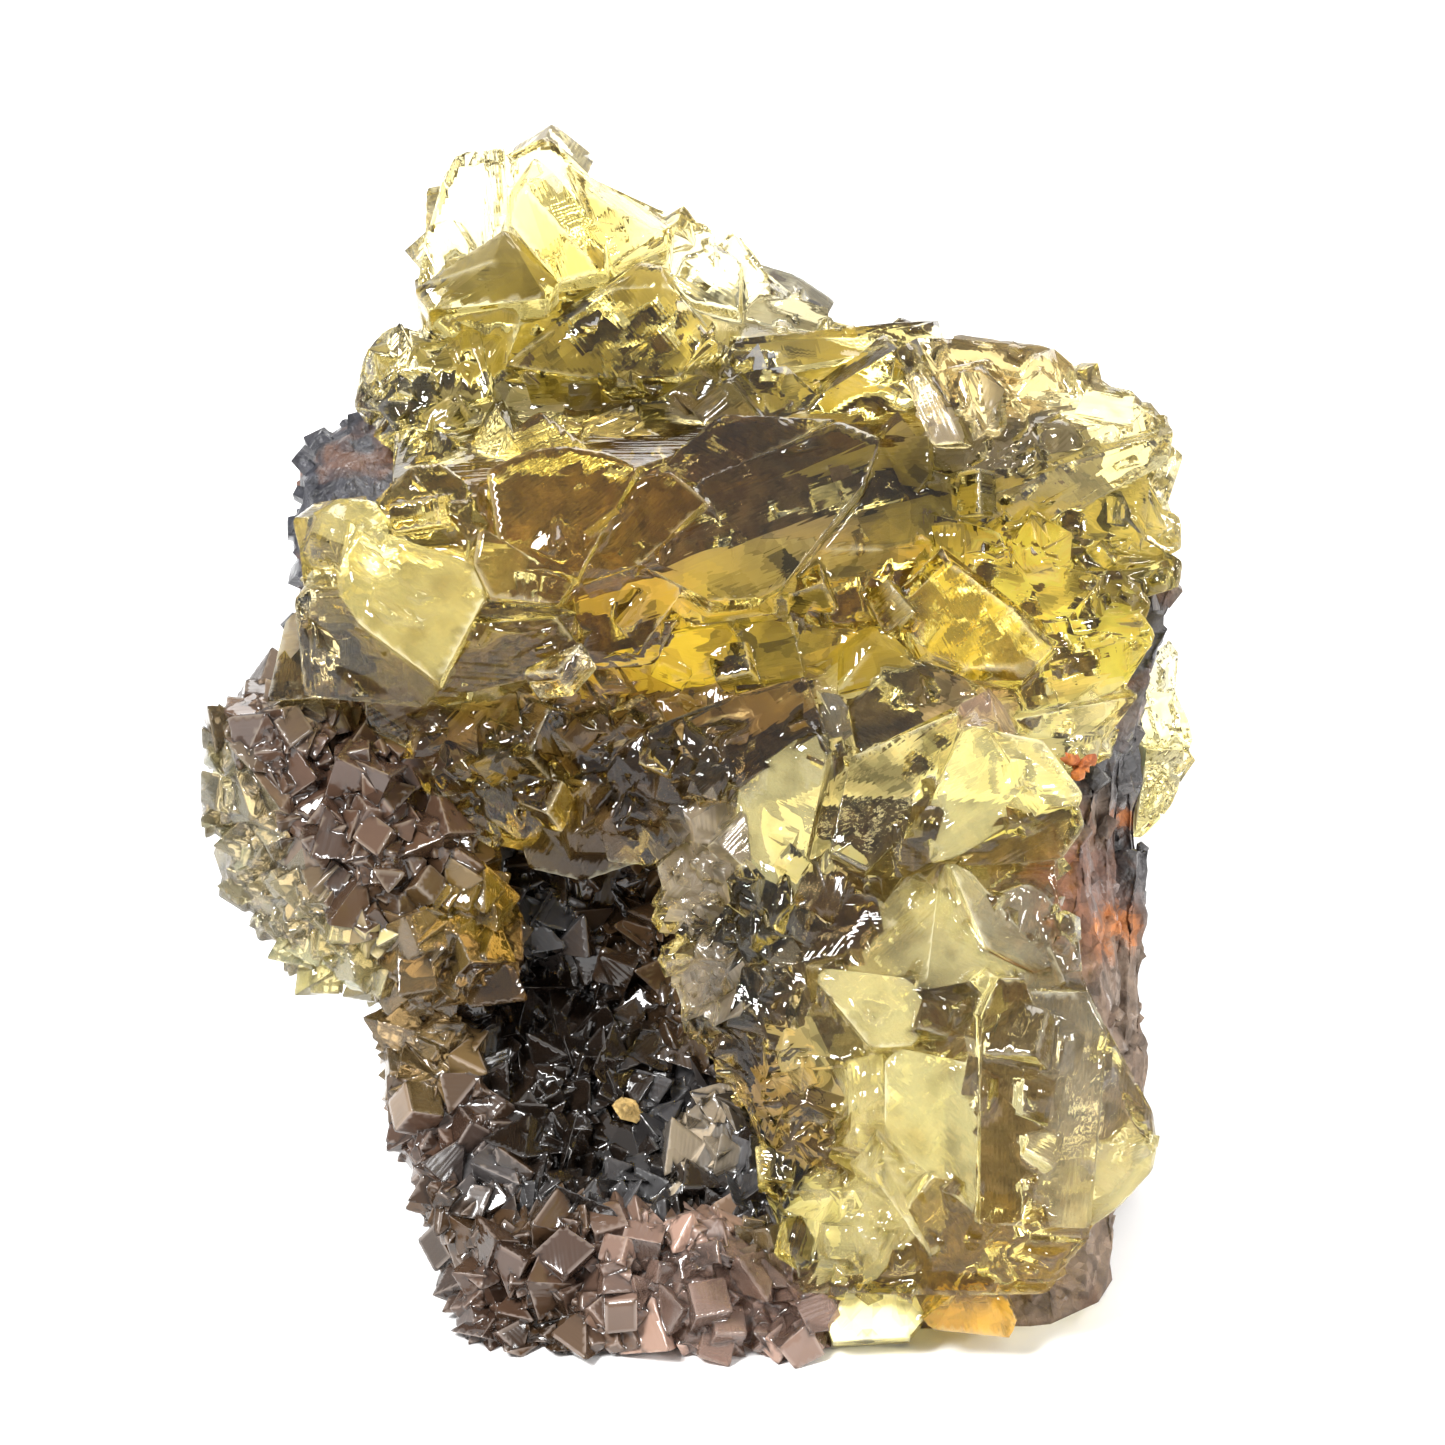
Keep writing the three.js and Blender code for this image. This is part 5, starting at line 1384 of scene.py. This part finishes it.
@dataclass
class CrystalMass:
    """Large joined crystals with growth steps on their faces, small crystals in their seams and chips.

    Attributes:
        name: The piece's name.
        node: The node that it stands for.
        slot: The record's material slot; not used.
        finish: Its finish.
        zones: Its tints.
        ground: The tint where no zone is near.
        patches: Where small crystals grow on its facets.
        steps: How many growth steps are tried.
        blocks: How many small crystals sit in the seams.
        chips: How many chips are out of the edges.
        pits: How many hollows are tried in the faces on the rock.
        seed: Picks its random numbers.
        fine: The longest edge of the mesh at a crease, in millimetres.
        coarse: The longest edge elsewhere.
        least: How large the facets beside a rounded edge are, in square millimetres; such edges also get a
            painted highlight, and such seams painted shade.
        root_gap: How near the rock a face counts as grown onto it.
        polished: The share of the facets that are clear and smooth.
    """

    name: str
    node: str
    slot: str
    finish: CrystalFinish
    zones: list[Zone]
    ground: Tint
    patches: list[Patch]
    steps: int
    blocks: int
    chips: int
    pits: int
    seed: int
    fine: float = 0.7
    coarse: float = 2.4
    least: float = 3.0
    root_gap: float = 0.9
    polished: float = 0.85
    base: Shape = field(init=False)

    def build(self, rock: Shape) -> bpy.types.Object:
        """Grows the mass on its node's solid.

        Args:
            rock: The rock that it grew on.

        Returns:
            The piece.
        """
        rng = np.random.default_rng(self.seed)
        self.base = solid_of(self.node)
        edges = Edges.of(self.base)
        facets = Facets.of(self.base, edges)
        root = self._root_facets(facets, rock)
        shape = combined(self.base, self._growth_steps(edges, facets, root, rng), Operation.ADD)
        shape = combined(shape, self._seam_blocks(edges, facets, root, rng), Operation.ADD)
        shape = combined(shape, self._overgrowth(facets, root, rng), Operation.ADD)
        shape = combined(shape, self._chips(edges, facets, root, rng), Operation.CUT)
        shape = combined(shape, self._root_pits(facets, root, rng), Operation.CUT)
        shape = softened(refined(shape, self.fine, self.coarse, self.least), 0.4, self.least)
        return self._dressed(shape, set(self.base.facet[root[facets.row]].tolist()), rng)

    def _root_facets(self, facets: Facets, rock: Shape) -> np.ndarray:
        """Whether each facet lies against the rock or in it, by the middles of its faces."""
        middles = self.base.centres()
        near = (distances(middles, rock) < self.root_gap) | behind(middles, rock)
        areas = np.linalg.norm(self.base.area_vectors(), axis=1)
        return np.bincount(facets.row, weights=areas * near) > 0.5 * facets.area

    def _growth_steps(
        self, edges: Edges, facets: Facets, root: np.ndarray, rng: np.random.Generator
    ) -> list[Shape]:
        """Low square steps on the open facets, each as wide as its distance to the edges allows."""
        spots = spots_on(self.base, facets, ~root[facets.row], self.steps, rng)
        sharp = self.base.points[edges.ends[creases(edges, facets)]]
        share = np.linspace(0.0, 1.0, 5)[:, None, None]
        marks = (sharp[None, :, 0] * (1 - share) + sharp[None, :, 1] * share).reshape(-1, 3)
        squared = (spots.feet**2).sum(axis=1)[:, None] + (marks**2).sum(axis=1) - 2 * spots.feet @ marks.T
        room = np.sqrt(np.maximum(squared.min(axis=1), 0.0)) * 0.66
        half = np.minimum(room * rng.uniform(0.5, 1.0, self.steps), 2.2)
        keep = half > 0.35
        spots, half = spots.chosen(keep), half[keep]
        proud = rng.uniform(0.03, 0.09, len(half))
        depth = np.full(len(half), 0.4)
        sizes = np.column_stack([half, half * rng.uniform(0.2, 0.6, len(half)), depth])
        return Sprouts.grown(BLOCK, spots, sizes, depth - proud, 10_000_000).layers()

    def _seam_blocks(
        self, edges: Edges, facets: Facets, root: np.ndarray, rng: np.random.Generator
    ) -> list[Shape]:
        """Small crystals where two large ones meet, most of them with a corner outwards."""
        layers: list[Shape] = []
        kinds = ((CORNER, 0.75, 0.1, 20_000_000), (STUMP, 0.25, 0.5, 25_000_000))
        for form, share, sink, first_facet in kinds:
            count = int(self.blocks * share)
            feet, normals, along = self._on_creases(edges, facets, root, rng, count, hollow=True)
            spots = Spots.at(feet, normals, along).turned(rng, 0.3, 0.5)
            half = mostly_small(rng, count, 0.35, 2.2, 3.0)
            sizes = half[:, None] * rng.uniform(0.6, 1.3, (count, 3))
            layers += Sprouts.grown(form, spots, sizes, half * sink, first_facet).layers()
        return layers

    def _overgrowth(self, facets: Facets, root: np.ndarray, rng: np.random.Generator) -> list[Shape]:
        """Small crystals on the open facets of each patch, a corner outwards."""
        layers: list[Shape] = []
        for number, patch in enumerate(self.patches):
            middle = np.array([patch.across, patch.up])
            gap = np.linalg.norm(self.base.centres()[:, :2] - middle, axis=1)
            weight = ~root[facets.row] * (gap < patch.reach + 2.0) * (self.base.area_vectors()[:, 2] > 0.0)
            spots = spots_on(self.base, facets, weight, patch.count, rng)
            spots = spots.chosen(np.linalg.norm(spots.feet[:, :2] - middle, axis=1) < patch.reach)
            spots = spots.turned(rng, 0.3, math.pi)
            half = mostly_small(rng, len(spots.feet), 0.4, patch.large)
            sizes = half[:, None] * rng.uniform(0.7, 1.3, (len(half), 3))
            layers += Sprouts.grown(CORNER, spots, sizes, half * 0.1, 50_000_000 + 100_000 * number).layers()
        return layers

    def _root_pits(self, facets: Facets, root: np.ndarray, rng: np.random.Generator) -> list[Shape]:
        """Pointed hollows in the faces on the rock, which break up the light inside.

        A hollow is kept where the open faces are well further off than it is deep.
        """
        hidden = root[facets.row]
        outside = Shape(self.base.points, self.base.faces[~hidden], self.base.facet[~hidden])
        spots = spots_on(self.base, facets, hidden, self.pits, rng).turned(rng, 0.4, math.pi)
        half = mostly_small(rng, self.pits, 0.6, 2.6)
        keep = distances(spots.feet, outside) > 1.8 * half
        sizes = half[keep, None] * rng.uniform(0.7, 1.3, (keep.sum(), 3))
        grown = Sprouts.grown(CORNER, spots.chosen(keep), sizes, np.zeros(keep.sum()), 40_000_000)
        return grown.layers()

    def _chips(self, edges: Edges, facets: Facets, root: np.ndarray, rng: np.random.Generator) -> list[Shape]:
        """Small notches out of the outer edges."""
        feet, normals, along = self._on_creases(edges, facets, root, rng, self.chips, hollow=False)
        spots = Spots.at(feet, normals, along).turned(rng, 0.5, math.pi)
        half = mostly_small(rng, len(feet), 0.08, 0.42)
        sizes = half[:, None] * rng.uniform(0.7, 1.4, (len(feet), 3))
        return Sprouts.grown(TIP, spots, sizes, np.zeros(len(feet)), 30_000_000).layers()

    def _on_creases(
        self, edges: Edges, facets: Facets, root: np.ndarray, rng: np.random.Generator, count: int, hollow: bool
    ) -> tuple[np.ndarray, np.ndarray, np.ndarray]:
        """Picks places along the inner or the outer creases.

        Args:
            edges: The edges of the base.
            facets: Its facets.
            root: Whether each facet lies against the rock.
            rng: The source of the random numbers.
            count: How many places.
            hollow: True for the creases that face inwards, such as a seam.

        Returns:
            The places, and the normal and the long direction of a facet beside each.
        """
        beside = facets.row[edges.faces]
        gap = self.base.centres()[edges.faces[:, 1]] - facets.middle[beside[:, 0]]
        inner = (gap * facets.normal[beside[:, 0]]).sum(axis=1) > 0.0
        fits = creases(edges, facets) & (inner == hollow) & ~root[beside].any(axis=1)
        ends = self.base.points[edges.ends]
        length = np.linalg.norm(ends[:, 1] - ends[:, 0], axis=1) * fits
        picked = rng.choice(len(length), count, p=length / length.sum())
        share = rng.random((count, 1))
        feet = ends[picked, 0] * (1 - share) + ends[picked, 1] * share
        row = beside[picked, rng.integers(0, 2, count)]
        normal = facets.normal[beside[picked]].sum(axis=1) if hollow else facets.normal[row]
        lean = facets.normal[row] + 0.35 * normal
        return feet, lean, facets.along[row]

    def _dressed(self, shape: Shape, root: set[int], rng: np.random.Generator) -> bpy.types.Object:
        """Paints the shape and makes it a piece."""
        facets = Facets.of(shape, Edges.of(shape))
        places = 0.55 * facets.middle[facets.row] + 0.45 * shape.centres()
        places[:, :2] += 0.9 * np.stack([Noise(s).fractal(places, 2.5, 2) for s in (1, 2)], axis=1)
        paint = Paint.from_zones(self.zones, self.ground, places)
        paint.colour = paint.colour * rng.uniform(0.8, 1.08, len(facets.area))[facets.row][:, None]
        paint.frost = paint.frost * mostly_small(rng, len(facets.area), 0.3, 2.6)[facets.row]
        smooth = (rng.random(len(facets.area)) < self.polished)[facets.row] & (paint.milk < 0.165)
        paint.milk[smooth] = 0.0
        paint.frost[smooth] = 0.0
        # Faces on the rock are opaque. Their tint is lightened by a power of 0.6 as a painted glow of light
        # through the crystal, and mottled at random for inclusions.
        grown_on = np.isin(shape.facet, list(root))
        paint.milk[grown_on] = 1.0
        mottle = Noise(9).fractal(shape.centres(), 2.2, 3)[grown_on]
        shade = np.clip(1.0 + 0.95 * mottle, 0.06, 1.2)[:, None]
        paint.colour[grown_on] = paint.colour[grown_on] ** 0.6 * shade
        return finished(self.name, shape, paint, self.finish.material(), self.least)


# The druses

# The CREAM and STRAW zones along the lower left rim paint the glow of light through its thin edge.
KNOB_ZONES = [
    Zone(-22.0, 33.0, 4.5, Tint.QUARTZ), Zone(-27.5, 39.0, 2.4, Tint.QUARTZ), Zone(-32.0, 35.4, 1.8, Tint.CREAM),
    Zone(-30.4, 30.6, 1.8, Tint.CREAM), Zone(-27.4, 27.0, 1.8, Tint.CREAM), Zone(-23.8, 23.4, 1.8, Tint.STRAW),
    Zone(-19.0, 22.6, 1.6, Tint.TAN), Zone(-26.2, 40.8, 1.2, Tint.SILVER), Zone(-15.4, 27.4, 1.5, Tint.AMBER),
    Zone(-18.0, 24.4, 1.5, Tint.TAN), Zone(-24.8, 36.8, 2.0, Tint.QUARTZ), Zone(-20.0, 29.6, 2.4, Tint.UMBER),
]
LOWER_ZONES = [
    Zone(-19.4, 18.4, 1.8, Tint.TAN), Zone(-18.2, 13.0, 2.2, Tint.QUARTZ), Zone(-17.0, 8.0, 2.4, Tint.UMBER),
    Zone(-14.0, 3.0, 2.2, Tint.QUARTZ), Zone(-15.4, 10.6, 1.4, Tint.STEEL), Zone(-10.6, 1.6, 2.0, Tint.UMBER),
    Zone(-8.0, 4.8, 1.8, Tint.QUARTZ), Zone(-4.4, 3.6, 2.4, Tint.PINK), Zone(0.6, 3.4, 2.6, Tint.PINK),
    Zone(4.6, 3.6, 2.0, Tint.PINK), Zone(-6.4, 1.2, 1.6, Tint.UMBER), Zone(3.6, 6.6, 1.4, Tint.TAN),
]
# The small STEEL and SILVER spots are lighter grey where glints show: painted glints on the dark crystals.
HOLLOW_ZONES = [
    Zone(-11.0, 26.4, 1.4, Tint.STEEL), Zone(-3.2, 15.0, 1.0, Tint.STEEL), Zone(-0.6, 13.0, 1.0, Tint.SILVER),
    Zone(1.4, 11.4, 1.0, Tint.STEEL), Zone(-5.4, 9.6, 1.2, Tint.STEEL), Zone(-9.0, 6.0, 1.6, Tint.STEEL),
    Zone(-8.0, 20.0, 4.0, Tint.SOOT), Zone(-4.0, 26.0, 3.0, Tint.UMBER), Zone(-11.0, 14.0, 3.0, Tint.SOOT),
    Zone(-13.6, 9.6, 1.6, Tint.STEEL), Zone(-1.6, 20.6, 2.0, Tint.UMBER), Zone(-6.0, 30.6, 2.4, Tint.UMBER),
]


@dataclass(frozen=True)
class Family:
    """One family of the small crystals of a druse.

    Attributes:
        form: Their form.
        count: How many there are.
        small: The least radius in millimetres.
        large: The greatest radius.
        slim: Their height over their radius.
        tilt: How much they lean about, in radians.
        flat: Their width over their radius, below 1 for a blade.
    """

    form: Form
    count: int
    small: float
    large: float
    slim: float = 0.9
    tilt: float = 0.35
    flat: float = 1.0


@dataclass
class Druse:
    """A crust of small crystals.

    Attributes:
        name: The piece's name.
        node: The node that it stands for.
        slot: The record's material slot; not used.
        finish: Its finish.
        zones: Its tints.
        ground: The tint where no zone is near.
        families: The crystals that grow on it.
        seed: Picks its random numbers.
        fine: The longest edge of the mesh at a crease, in millimetres.
        coarse: The longest edge elsewhere.
        root_gap: How near the rock a face counts as hidden.
    """

    name: str
    node: str
    slot: str
    finish: CrystalFinish
    zones: list[Zone]
    ground: Tint
    families: list[Family]
    seed: int
    fine: float = 0.5
    coarse: float = 1.5
    root_gap: float = 0.7

    def build(self, rock: Shape) -> bpy.types.Object:
        """Grows the crust on its node's solid.

        Args:
            rock: The rock that it grew on.

        Returns:
            The piece.
        """
        rng = np.random.default_rng(self.seed)
        base = solid_of(self.node)
        facets = Facets.of(base, Edges.of(base))
        open_to_air = distances(base.centres(), rock) > self.root_gap
        shape = base
        for number, family in enumerate(self.families):
            spots = spots_on(base, facets, open_to_air, family.count, rng).turned(rng, family.tilt, math.pi)
            radius = mostly_small(rng, family.count, family.small, family.large)
            height = radius * family.slim * rng.uniform(0.7, 1.3, family.count)
            sizes = np.column_stack([radius, radius * family.flat, height])
            first_facet = 10_000_000 * (number + 1)
            grown = Sprouts.grown(family.form, spots, sizes, np.zeros(family.count), first_facet)
            shape = combined(shape, grown.layers(), Operation.ADD)
        shape = softened(refined(shape, self.fine, self.coarse), 0.35)
        return self._dressed(shape, rng)

    def _dressed(self, shape: Shape, rng: np.random.Generator) -> bpy.types.Object:
        """Paints the shape and makes it a piece."""
        facets = Facets.of(shape, Edges.of(shape))
        places = facets.middle[facets.row].copy()
        places[:, :2] += 1.1 * np.stack([Noise(s).fractal(places, 2.0, 2) for s in (3, 4)], axis=1)
        paint = Paint.from_zones(self.zones, self.ground, places)
        paint.colour = paint.colour * rng.uniform(0.6, 1.3, len(facets.area))[facets.row][:, None]
        paint.frost = paint.frost * mostly_small(rng, len(facets.area), 0.4, 2.8)[facets.row]
        paint.milk = np.where(paint.milk > 0.28, 1.0, paint.milk)
        return finished(self.name, shape, paint, self.finish.material())


# The rock and the small lumps

ROCK_ZONES = [
    Zone(-26.0, 50.0, 5.0, Tint.INK), Zone(-22.0, 57.0, 5.0, Tint.INK), Zone(-27.4, 55.0, 0.5, Tint.RUST),
    Zone(24.4, 37.0, 2.2, Tint.STEEL), Zone(22.4, 28.0, 2.4, Tint.RUST), Zone(21.6, 29.6, 0.9, Tint.BLOOD),
    Zone(25.0, 26.4, 0.6, Tint.IRON), Zone(25.4, 33.0, 0.5, Tint.IRON), Zone(26.6, 30.0, 2.2, Tint.STEEL),
    Zone(26.2, 18.0, 2.6, Tint.EARTH), Zone(23.0, 33.6, 1.2, Tint.EARTH), Zone(27.0, 24.0, 2.0, Tint.EARTH),
    Zone(28.0, 44.0, 2.0, Tint.BASALT), Zone(-20.0, 16.0, 3.0, Tint.EARTH), Zone(0.0, 50.0, 14.0, Tint.EARTH),
    Zone(-6.0, 24.0, 10.0, Tint.BASALT), Zone(14.0, 14.0, 8.0, Tint.EARTH), Zone(-16.0, 0.0, 6.0, Tint.BASALT),
]


@dataclass
class Rock:
    """The rock, with a rough broken skin, upright layers on its right and a flat sawn base.

    Attributes:
        name: The piece's name.
        node: The node that it stands for.
        slot: The record's material slot; not used.
        coarse: The longest edge of its mesh, in millimetres.
        depth: How deep the broken skin goes.
        layer: The thickness of one upright layer.
        sparkles: How many small crystals sit on it.
        seed: Picks its random numbers.
    """

    name: str = "rock"
    node: str = "matrix_rock"
    slot: str = "rock"
    coarse: float = 0.8
    depth: float = 0.5
    layer: float = 0.9
    sparkles: int = 900
    seed: int = 21

    def build(self, solid: Shape) -> bpy.types.Object:
        """Roughens the solid.

        Args:
            solid: The rock's solid.

        Returns:
            The piece.
        """
        shape = refined(solid, self.coarse, self.coarse)
        shape = self._broken(shape)
        shape.facet = facet_numbers(shape, math.radians(10.0))
        rng = np.random.default_rng(self.seed)
        facets = Facets.of(shape, Edges.of(shape))
        left = shape.centres()[:, 0] < -19.0
        weight = np.where(left, 4.0, 1.0) * (FACE.place(shape.centres())[:, 2] > 1.5 * MILLIMETRE)
        spots = spots_on(shape, facets, weight, self.sparkles, rng).turned(rng, 0.5, math.pi)
        radius = mostly_small(rng, self.sparkles, 0.25, 0.95, 2.4)
        sizes = radius[:, None] * rng.uniform(0.7, 1.2, (self.sparkles, 3))
        grown = Sprouts.grown(STUMP, spots, sizes, radius * 0.2, 10_000_000)
        shape = combined(shape, grown.layers(), Operation.ADD)
        places = shape.centres()
        places[:, :2] += 1.6 * np.stack([Noise(s).fractal(places, 3.0, 3) for s in (5, 6)], axis=1)
        paint = Paint.from_zones(ROCK_ZONES, Tint.EARTH, places)
        finish = RockFinish("rock", (0.16, 0.075, 0.04))
        return finished(self.name, shape, paint, finish.material())

    def _broken(self, shape: Shape) -> Shape:
        """Moves each point along its normal by fractal noise and by the random height of its layer.

        The move fades out towards the sawn base, which stays flat.
        """
        vectors = shape.area_vectors()
        normal = np.zeros_like(shape.points)
        for corner in range(3):
            np.add.at(normal, shape.faces[:, corner], vectors)
        normal = unit(normal)
        rough = Noise(self.seed).fractal(shape.points, 4.0, 5)
        ridged = 1.0 - np.abs(Noise(self.seed + 1).fractal(shape.points, 2.4, 3))
        bent = shape.points + 0.8 * Noise(self.seed + 2).smooth(shape.points, 6.0)[:, None]
        cells = np.floor(bent / np.array([self.layer, 9.0, 7.0])).astype(np.int64)
        layered = Noise(self.seed + 3).corner(cells) * (shape.points[:, 0] > 18.0)
        move = self.depth * (0.8 * rough - 0.7 * ridged + 0.35 * layered)
        height = FACE.place(shape.points)[:, 2] / MILLIMETRE
        move *= np.clip(height / 1.5, 0.0, 1.0)
        return Shape(shape.points + normal * move[:, None], shape.faces, shape.facet)


@dataclass
class Lump:
    """A small lump or grain with a finely broken skin.

    Attributes:
        name: The piece's name.
        node: The node that it stands for.
        slot: The record's material slot; not used.
        tint: Its tint.
        stain: The colour of its darker patches.
        depth: How deep its broken skin goes, in millimetres.
        grain: The step of that skin's noise.
        seed: Picks its random numbers.
    """

    name: str
    node: str
    slot: str
    tint: Tint
    stain: tuple[float, float, float]
    depth: float
    grain: float
    seed: int

    def build(self) -> bpy.types.Object:
        """Roughens the solid by noise from its middle outwards.

        Returns:
            The piece.
        """
        shape = refined(solid_of(self.node), 0.16, 0.16)
        outward = unit(shape.points - shape.points.mean(axis=0))
        noise = Noise(self.seed).fractal(shape.points, self.grain, 4)
        shape.points = shape.points + outward * (self.depth * (noise - 0.5))[:, None]
        paint = Paint.from_zones([Zone(0.0, 0.0, 1.0, self.tint)], self.tint, shape.centres())
        finish = RockFinish(self.name, self.stain, 5.0, 0.08)
        return finished(self.name, shape, paint, finish.material())


# The studio


@dataclass
class Studio:
    """The white board that the specimen stands on, the soft light and the camera.

    Attributes:
        aim: The middle of the picture on the display face, in millimetres.
        picture: The width of the picture there.
        lens: The lens in millimetres.
        sensor: The sensor's width in millimetres.
        reach: The half width of the board in metres.
        bend: Where the board starts to rise behind the specimen.
        rows: How many points the board has along each side.
        dark_side: The strength of the room's light from the front.
        bright_side: Its strength from above and behind.
    """

    aim: tuple[float, float, float] = (0.16, 39.2, 3.0)
    picture: float = 90.3
    lens: float = 200.0
    sensor: float = 36.0
    reach: float = 3.0
    bend: float = 1.2
    rows: int = 90
    dark_side: float = 0.6
    bright_side: float = 1.0

    def build(self) -> None:
        """Sets up the board, the lights, the world and the camera."""
        self._board()
        self._light("window", (-0.5, -0.62, 0.78), 0.28, 19.0)
        self._light("back_light", (0.15, 0.6, 0.75), 0.6, 8.0)
        self._light("side_strip", (0.75, -0.4, 0.35), 0.16, 4.0)
        self._world()
        self._camera()

    def _board(self) -> None:
        """A floor whose far side rises: the height is the square of the distance past the bend."""
        steps = np.linspace(-self.reach, self.reach, self.rows)
        across, along = np.meshgrid(steps, steps)
        height = np.clip(along - self.bend, 0.0, None) ** 2
        points = np.stack([across, along, height], axis=2).reshape(-1, 3)
        first = np.arange(self.rows - 1)
        low = (first[:, None] * self.rows + first).ravel()
        quads = np.stack([low, low + 1, low + self.rows + 1, low + self.rows], axis=1)
        mesh = bpy.data.meshes.new("board")
        mesh.from_pydata(points.tolist(), [], quads.tolist())
        mesh.materials.append(FloorFinish().material())
        object_of(mesh)

    def _light(self, name: str, place: tuple[float, float, float], size: float, power: float) -> None:
        """Adds a soft square light that faces the specimen.

        Args:
            name: Its name.
            place: Where it is, in metres.
            size: Its width in metres.
            power: Its power in watts.
        """
        light = bpy.data.lights.new(name, "AREA")
        light.size = size
        light.energy = power
        lamp = bpy.data.objects.new(name, light)
        bpy.context.scene.collection.objects.link(lamp)
        lamp.location = place
        lamp.rotation_mode = "QUATERNION"
        lamp.rotation_quaternion = (Vector((0.0, 0.0, 0.03)) - Vector(place)).to_track_quat("-Z", "Y")

    def _world(self) -> None:
        """White light from all around, weaker from the front than from above and behind."""
        nodes = NodeSet(bpy.data.worlds.new("white_room"))
        way = nodes.add("ShaderNodeTexCoord", {}, {}, "Generated")
        behind = nodes.add("ShaderNodeSeparateXYZ", {}, {0: way}, "Y")
        above = nodes.add("ShaderNodeSeparateXYZ", {}, {0: way}, "Z")
        strength = nodes.ramp(behind + above * 0.8, -0.7, 0.8, self.dark_side, self.bright_side)
        background = nodes.add("ShaderNodeBackground", {}, {"Color": (1.0, 1.0, 1.0), "Strength": strength})
        nodes.node("ShaderNodeOutputWorld", {}, {"Surface": background})
        bpy.context.scene.world = nodes.owner
        bpy.context.scene.view_settings.view_transform = "Standard"

    def _camera(self) -> None:
        """A camera square to the display face, as far off as the picture's width asks."""
        data = bpy.data.cameras.new("camera")
        data.lens = self.lens
        data.sensor_width = self.sensor
        camera = bpy.data.objects.new("camera", data)
        bpy.context.scene.collection.objects.link(camera)
        bpy.context.scene.camera = camera
        target = Vector(FACE.place(np.array(self.aim)))
        outward = Vector(FACE.axes()[:, 2])
        distance = self.picture * MILLIMETRE * self.lens / self.sensor
        camera.location = target + outward * distance
        camera.rotation_mode = "QUATERNION"
        camera.rotation_quaternion = (-outward).to_track_quat("-Z", "Y")
        data.clip_start = 0.05
        data.clip_end = 20.0


def pieces() -> Iterator[CrystalMass | Druse]:
    """The crystal pieces, from the largest to the smallest."""
    yellow = CrystalFinish("yellow_fluorite", (0.94, 0.85, 0.26), 50.0)
    pale = CrystalFinish("pale_fluorite", (0.93, 0.88, 0.3), 60.0)
    smoky = CrystalFinish("smoky_druse", (0.8, 0.68, 0.5), 180.0, 1.54, (0.8, 0.7, 0.55), 0.12, 0.02, 0.9)
    brown = CrystalFinish("brown_druse", (0.8, 0.68, 0.6), 110.0, 1.54, (0.8, 0.68, 0.6), 0.18, 0.02, 0.8)
    dark = CrystalFinish("dark_crust", (0.6, 0.46, 0.32), 200.0, 1.6, (0.2, 0.19, 0.18), 0.15, 0.02, 1.0)
    yield CrystalMass(
        "front_fluorite_crystals", "front_fluorite", "yellow_fluorite", yellow, FRONT_ZONES, Tint.OLIVE,
        FRONT_PATCHES, steps=350, blocks=620, chips=250, pits=300, seed=4,
    )
    yield CrystalMass(
        "back_fluorite_crystals", "back_fluorite", "pale_fluorite", pale, BACK_ZONES, Tint.PALE,
        [], steps=60, blocks=40, chips=30, pits=30, seed=5,
    )
    yield Druse(
        "smoky_knob", "left_druse", "smoky_druse", smoky, KNOB_ZONES, Tint.SMOKE,
        [Family(TIP, 400, 1.0, 2.8, 1.0), Family(CORNER, 180, 0.7, 2.2, 1.0, 0.5)], 6,
    )
    yield Druse(
        "brown_crust", "lower_druse", "brown_druse", brown, LOWER_ZONES, Tint.UMBER,
        [Family(TIP, 360, 0.8, 2.6, 1.0), Family(CORNER, 160, 0.7, 2.2, 1.0, 0.5)], 7,
    )
    yield Druse(
        "hollow_lining", "hollow_crust", "dark_crust", dark, HOLLOW_ZONES, Tint.SOOT,
        [Family(TIP, 480, 0.7, 2.3, 1.2, 0.5), Family(TIP, 200, 1.0, 2.6, 1.2, 0.6, 0.22)], 8,
    )


def main() -> None:
    """Builds the pieces and the studio in order."""
    logging.basicConfig(level=logging.INFO)
    solid = solid_of("matrix_rock")
    for piece in pieces():
        settle(piece.build(solid), piece.node)
    rock = Rock()
    settle(rock.build(solid), rock.node)
    oxide = Lump("iron_oxide", "iron_oxide_lump", "iron_oxide", Tint.IRON, (0.3, 0.06, 0.02), 0.35, 0.7, 9)
    grain = Lump("tan_crystal", "tan_grain", "tan_crystal", Tint.TAN, (0.2, 0.13, 0.06), 0.12, 1.2, 10)
    for lump in (oxide, grain):
        settle(lump.build(), lump.node)
    Studio().build()


if __name__ == "__main__":
    main()
